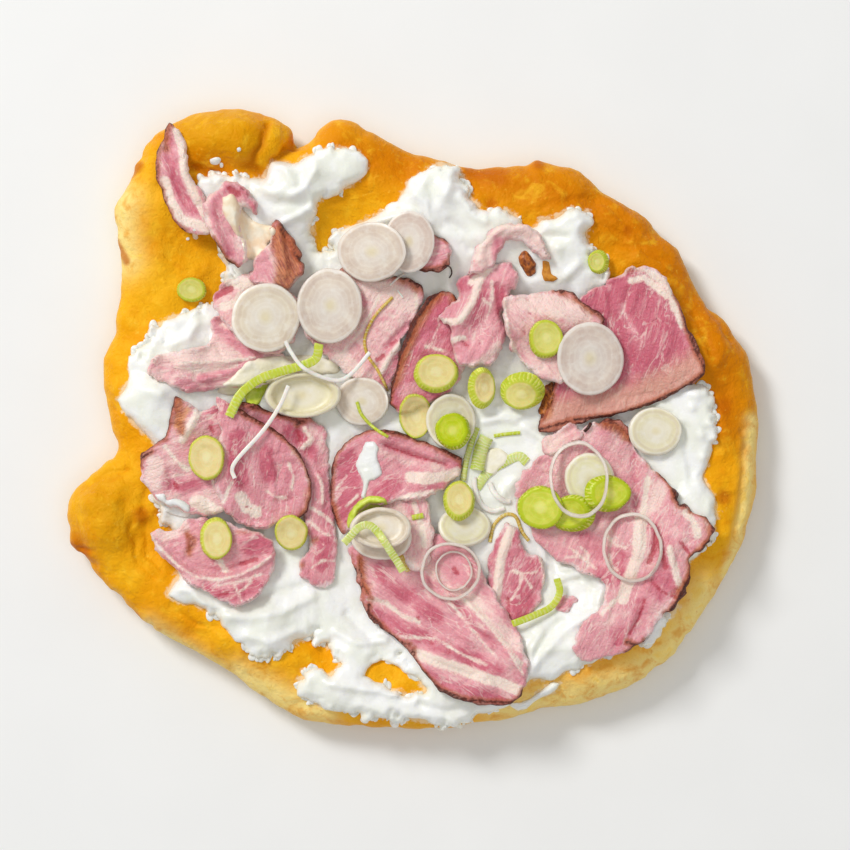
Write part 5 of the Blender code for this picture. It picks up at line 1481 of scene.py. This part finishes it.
# %% Sweep the curls along their routes
CURLS = {
    "curl_green_ticks": ("green", 3.2, [(-65, 1), (-61, 9), (-54, 14.5), (-47, 17), (-35, 21), (-33, 27)]),
    "curl_white_long": ("white", 1.5, [(-44, 12), (-47, 5), (-53, -4), (-62, -14), (-64, -18), (-63, -21)]),
    "curl_white_hook": ("white", 1.4, [(-45, 28), (-43, 24), (-38, 18), (-28, 14), (-22, 16), (-15, 24)]),
    "curl_green_hook": ("green", 2.5, [(52, -57), (53, -62), (50, -67), (44, -70), (36, -73)]),
    "curl_low_left": ("pale", 2.8, [(-24, -44), (-18, -38), (-13, -39), (-6, -49), (-3, -54)]),
}
CURL_THICKNESS = 0.55
CURL_FINISH = {"white": (WHITE_CURL, "white_onion"), "green": (GREEN_CURL, "green_onion"),
               "pale": (PALE_CURL, "green_onion"), "ochre": (OCHRE_CURL, "green_onion")}


def curved(route, steps=10):
    """Points on a smooth curve through a route's corners."""
    corners = np.array(route, float)
    padded = np.vstack([2 * corners[0] - corners[1], corners, 2 * corners[-1] - corners[-2]])
    share = np.linspace(0, 1, steps, endpoint=False)[:, None]
    parts = []
    for a, b, c, d in zip(padded[:-3], padded[1:-2], padded[2:-1], padded[3:]):
        parts.append(0.5 * (2 * b + (c - a) * share + (2 * a - 5 * b + 4 * c - d) * share ** 2
                            + (3 * b - a - 3 * c + d) * share ** 3))
    return np.vstack([*parts, corners[-1:]])


def sweep_curl(name, kind, width, thickness, line, heights):
    material, slot = CURL_FINISH[kind]
    curve = bpy.data.curves.new(name, "CURVE")
    curve.dimensions = "3D"
    spline = curve.splines.new("POLY")
    spline.points.add(len(line) - 1)
    for spot, (px, py), pz in zip(spline.points, line, heights):
        spot.co = (px * MM, py * MM, pz * MM, 1.0)
    start = bpy.data.objects.new(name, curve)
    settings = {"Width": width * MM, "Thickness": thickness * MM, "Finish": material}
    mesh = run_tree(SWEEPING, start, settings)
    values = {"along": read_values(mesh, "along")}
    return make_piece(name, *read_mesh(mesh), material, slot, values, sharp=60)


curls = []
for curl_name, (kind, width, route) in CURLS.items():
    solid, line = Solid(curl_name), curved(route)
    middle = 0.5 * (solid.height(*line.T, True) + solid.height(*line.T, False))
    curls.append(sweep_curl(curl_name + "_cut", kind, width, CURL_THICKNESS, line, middle))
    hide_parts(curl_name)
print("curls", len(curls))

# %% [markdown]
# ## Small pieces on top
# Between the large pieces lie many small ones: thin strands and strips of onion, crumbs of rind,
# drips of cream. Strands use the sweeping tree again. Flat scraps use the sheet maker, with a patch
# in place of a solid: it has an outline of its own and takes its height from whatever lies below.

# %% A patch that lies on what is below
class Patch:
    """A flat scrap: it answers the same questions as a solid."""

    def __init__(self, name, corners, thickness, ground):
        self.name = name
        self.points = curved(corners + corners[:1], steps=4)
        self.thickness = thickness
        self.ground = ground

    def outline(self):
        return np.array(list(zip(self.points[:-1], self.points[1:])))

    def height(self, x, y, upper):
        return drop(self.ground, x, y) + (self.thickness if upper else 0.05)


# Each strand: name, kind, width and thickness in mm, what it lies on, and its route.
STRANDS = [
    ("strand_ochre_top", "ochre", 1.1, 0.7, "ham", [(-6.9, 43.9), (-13.2, 37.1), (-16.8, 29.5),
        (-15.9, 23.2), (-12.3, 17.8), (-8.7, 10.6)]),
    ("strand_green_down", "green", 1.2, 0.8, "onion", [(-19.7, 6.3), (-17.9, 1.6), (-13.9, -2.7),
        (-8.5, -6.3)]),
    ("strip_green_pair", "pale", 3.4, 0.7, "ham", [(-64.1, 2.3), (-61.8, 8.3), (-57.3, 13.7),
        (-51.7, 16.7)]),
    ("strand_ochre_arch", "ochre", 1.3, 0.8, "ham", [(28.1, -44.2), (29.6, -38.2), (33.6, -34.4),
        (37.4, -35), (39.6, -40.2), (42.1, -43.7)]),
    ("strand_orange_low", "ochre", 2, 0.8, "ham", [(-8.9, -43.2), (-4.4, -48), (-1.2, -54.4)]),
    ("bit_green_low", "green", 2, 0.9, "ham", [(0.1, -35.2), (2.4, -34.8), (4.2, -34.4)]),
    ("wall_green_light", "pale", 2.2, 1.2, "onion", [(23.5, -2.9), (21.6, -8.1), (19.7, -14.6),
        (18.5, -22)]),
    ("wall_green_thick", "pale", 5, 2.0, "ham", [(27.1, -6.3), (24.9, -11), (23.5, -18.2)]),
    ("strand_green_dashes", "green", 1.3, 0.8, "ham", [(29.6, -6), (33.2, -5.4), (39, -4.8)]),
    ("strip_green_clear", "pale", 3.4, 0.6, "onion", [(23.3, -24.7), (27.5, -19.1), (33.2, -15.5),
        (38.6, -13.3), (41.5, -15.5)]),
    ("arc_white_outer", "white", 2, 1.2, "ham", [(22.4, -20.9), (22.9, -25.4), (24.9, -30.3),
        (28.9, -33), (33.4, -32)]),
    ("arc_white_inner", "white", 2, 1, "ham", [(28, -22.9), (30, -26.8), (33.2, -29.4),
        (35.5, -29.6)]),
    ("hook_dark", "dark", 0.5, 0.5, "ham", [(11.9, 54.9), (13.8, 54.5), (14.4, 52.5),
        (13.5, 50.8)]),
    ("thread_white_a", "white", 0.7, 0.5, "ham", [(-1.7, 52.9), (-4.2, 51.3), (-7.8, 48.2)]),
    ("thread_white_b", "white", 0.6, 0.4, "ham", [(-5.1, 46.4), (-3.1, 43.7)]),
    ("bit_dark", "dark", 1.2, 0.8, "ham", [(61.9, -4.3), (63.2, -3), (64.2, -1.4)]),
]
# Each scrap: name, kind, thickness in mm, and outline.
SCRAPS = [
    ("sheet_behind_cup", "onion", 1, [(-61.4, 17.8), (-58.2, 20.7), (-51, 22.5), (-40.2, 23.2),
        (-32.6, 22.5), (-26.7, 20), (-26.9, 16.7), (-38.4, 15.8), (-51, 13.1), (-60.9, 8.8),
        (-69.7, 9.7), (-65.4, 14.2)]),
    ("round_under_heart", "rim", 1.3, [(0.1, -6.7), (-2.9, -5.2), (-4.6, -1.7), (-4.8, 2.7),
        (-3.1, 7), (0.1, 9.3), (4.1, 9), (6.6, 7), (7.4, 1.9), (6.2, -3.1), (3.3, -6.1)]),
    ("fat_by_loop", "fat", 1.4, [(-67.2, 79), (-63.6, 80.1), (-60.6, 75.4), (-55.8, 70.6),
        (-51, 69.4), (-48.6, 67), (-52.2, 62.2), (-55.8, 57.4), (-59.4, 58.6), (-60.6, 63.4),
        (-64.2, 68.2), (-67.2, 74.2)]),
    ("ham_tip", "ham", 1.4, [(46.6, -8), (50.3, -5.1), (55.2, -2.3), (59.3, -1.8), (61.9, -5.3),
        (58.5, -8.4), (54.4, -10.8), (50.3, -13.3), (47.8, -11.7)]),
    ("slab_green", "green", 1.4, [(-23.2, -40.4), (-22.6, -34.2), (-19.4, -29.7), (-14.4, -27.5),
        (-9.6, -28.4), (-8.9, -30.4), (-14.4, -32.7), (-18.4, -35.2), (-20.9, -38.7)]),
    ("inside_green_pair", "green", 0.8, [(-60.5, 8.3), (-56.4, 13.3), (-51, 15.1), (-52.4, 10.6),
        (-55.1, 5.6), (-58.2, 5)]),
    ("sheet_clear", "onion", 0.8, [(25.9, -12.4), (28.9, -10.4), (32.6, -11), (35, -13.9),
        (33.2, -16.8), (28.9, -20.4), (26, -19.1)]),
    ("crumb_brown", "crumb", 1.8, [(38.1, 58), (40.1, 60.3), (42.2, 59), (44.4, 55.6), (44.2, 52.5),
        (41.8, 51.5), (39.1, 54.8)]),
    ("crust_on_tip", "crumb", 1.2, [(47.9, 12.2), (50.8, 13.5), (51.4, 9), (49.5, 4.4), (47.2, 1.6),
        (45.3, 2.9), (46.9, 6.4)]),
    ("crumb_gold", "crust", 0.5, [(47, 56.7), (49.3, 56.4), (49.9, 52.5), (52.2, 50.4),
        (49.3, 49.4), (47, 50.8)]),
    ("ham_scrap", "ham", 1, [(51.6, -65), (55.8, -63.3), (58.9, -64.1), (58.2, -66.2),
        (55.4, -68.6), (52.4, -67.7)]),
    ("drip_on_ham", "cream", 0.8, [(-16.4, -8.2), (-13.9, -8), (-11.8, -10.2), (-12.4, -13.2),
        (-10.8, -19.2), (-13.2, -21.6), (-15.2, -22.4), (-16.8, -27.8), (-18, -27.4), (-17.4, -22),
        (-20, -16.8), (-18.4, -12.2)]),
    ("smear_by_loop", "cream", 0.6, [(-70.4, 59.9), (-67.9, 59.5), (-65.4, 56), (-63.2, 52.4),
        (-62.3, 50.9), (-64.1, 50.9), (-66.8, 54.7)]),
    ("cream_on_edge_left", "cream", 0.7, [(-91.6, -26.9), (-88.3, -26.7), (-87.5, -28.9),
        (-84.2, -28.4), (-80, -30.2), (-79.3, -33.4), (-80.6, -35.5), (-85.1, -34.4),
        (-88.5, -32.8), (-87.1, -31), (-90, -28.9)]),
    ("drop_lobe_a", "cream", 0.9, [(-72.4, 93.4), (-69.9, 94.1), (-68.3, 93.2), (-69.7, 91.6),
        (-71.9, 91.8)]),
    ("drop_lobe_b", "cream", 0.7, [(-69, 92.3), (-67.6, 92.1), (-67.9, 90.5), (-68.8, 90.7)]),
    ("drop_lobe_c", "cream", 0.7, [(-62.5, 96.6), (-61.5, 97.4), (-60.9, 96.5), (-62, 95.7)]),
    ("drop_left_a", "cream", 0.8, [(-78.9, 67.7), (-77.6, 68.4), (-76.9, 66.8), (-77.6, 65),
        (-78.7, 65.7)]),
    ("drop_left_b", "cream", 0.5, [(-81.3, 65.5), (-80.3, 65.7), (-80.2, 64.6), (-81.3, 64.6)]),
]
INNER_RING = [(21.4, -50.1), (18.0, -47.2), (12.8, -47.8), (8.8, -51.6), (9.0, -57.4), (13.6, -61.4),
              (18.8, -60.6), (21.6, -56.2)]
SCRAP_STEP = 0.5
DRAPE_PASSES = 6             # how often a strand is lifted clear of the hollows that it bridges
print("routes for", len(STRANDS), "strands, outlines for", len(SCRAPS), "scraps")


# %% Lay the strands and scraps
def plain_finish(name, first, second, size):
    """A finish that drifts between two tones over a given size in millimetres."""
    finish = Finish(name, first, Specular_IOR_Level=0.45)
    finish.paint(finish.step(finish.noise(size, 3.0), 0.35, 0.65), second)
    normal = finish.bump(finish.noise(size * 0.7, 3.0), 0.4)
    return finish.feed(Roughness=0.3 + finish.noise(1.0) * 0.2, Normal=normal)


CRUMB = plain_finish("rind_crumb", (112, 50, 18), (196, 112, 44), 1.6)
DARK_BIT = plain_finish("dark_bit", (46, 20, 12), (84, 36, 20), 1.0)
GOLD_CRUMB = plain_finish("gold_crumb", (190, 118, 16), (216, 146, 40), 2.0)
SHEET_ONION = plain_finish("onion_sheet", (250, 244, 226), (242, 234, 206), 3.0)
GREEN_SLAB = plain_finish("green_slab", (184, 206, 36), (216, 226, 96), 3.0)
FAT = plain_finish("clear_fat", (253, 244, 222), (248, 226, 192), 4.0)
CURL_FINISH["dark"] = (DARK_BIT, "ham")
SCRAP_FINISH = {"onion": (SHEET_ONION, "white_onion"), "green": (GREEN_SLAB, "green_onion"),
                "crumb": (CRUMB, "ham"), "fat": (FAT, "ham"), "crust": (GOLD_CRUMB, "crust"),
                "cream": (CREAM, "cream")}
HAM_SCRAP_LOOKS = {"ham_tip": (0.25, 30, "pale 2 50,-8"), "ham_scrap": (0.6, 20, "pale 0.4 49,-61")}
GROUNDS = {"ham": ray_tree([bread, *creams, *slices]),
           "onion": ray_tree([bread, *creams, *slices, *rounds, *curls])}


def make_scrap(name, kind, thickness, corners):
    patch = Patch(name, corners, thickness, GROUNDS["ham"])
    if kind == "rim":
        return make_round(patch, "green", 3, 0.0, 0.2, -0.2, 0.04)
    if kind == "ham":
        return make_slice(patch, *HAM_SCRAP_LOOKS[name])
    seed = seed_of(name)

    def ragged(x, y):
        return 0.25 * soft_noise(x, y, 1.6, seed)

    def shape_top(x, y, depth, top, sole):
        round_off = np.sqrt(np.clip(depth / (1.2 * thickness), 0.0, 1.0))
        relief = 0.12 * thickness * soft_noise(x, y, 3.0, seed + 1)
        return np.maximum(sole + (top - sole) * round_off + relief * round_off, sole + 0.15), sole - 0.1

    points, faces, depth = fine_sheet(patch, SCRAP_STEP, ragged, shape_top)
    return make_piece(name, points, faces, *SCRAP_FINISH[kind], {"edge": depth + 2.0}, sharp=60)


for scrap in SCRAPS:
    make_scrap(*scrap)
make_round(Patch("ring_inner", INNER_RING, 1.6, GROUNDS["onion"]), "ring", 9, 0.0)
for strand_name, kind, width, thickness, lies_on, route in STRANDS:
    line = curved(route, steps=6)
    ground = drop(GROUNDS[lies_on], *line.T)
    for _ in range(DRAPE_PASSES):
        ground[1:-1] = np.maximum(ground[1:-1], 0.5 * (ground[:-2] + ground[2:]))
    sweep_curl(strand_name, kind, width, thickness, line, ground + 0.5 * thickness)
print("scraps", len(SCRAPS), "strands", len(STRANDS))

# %% [markdown]
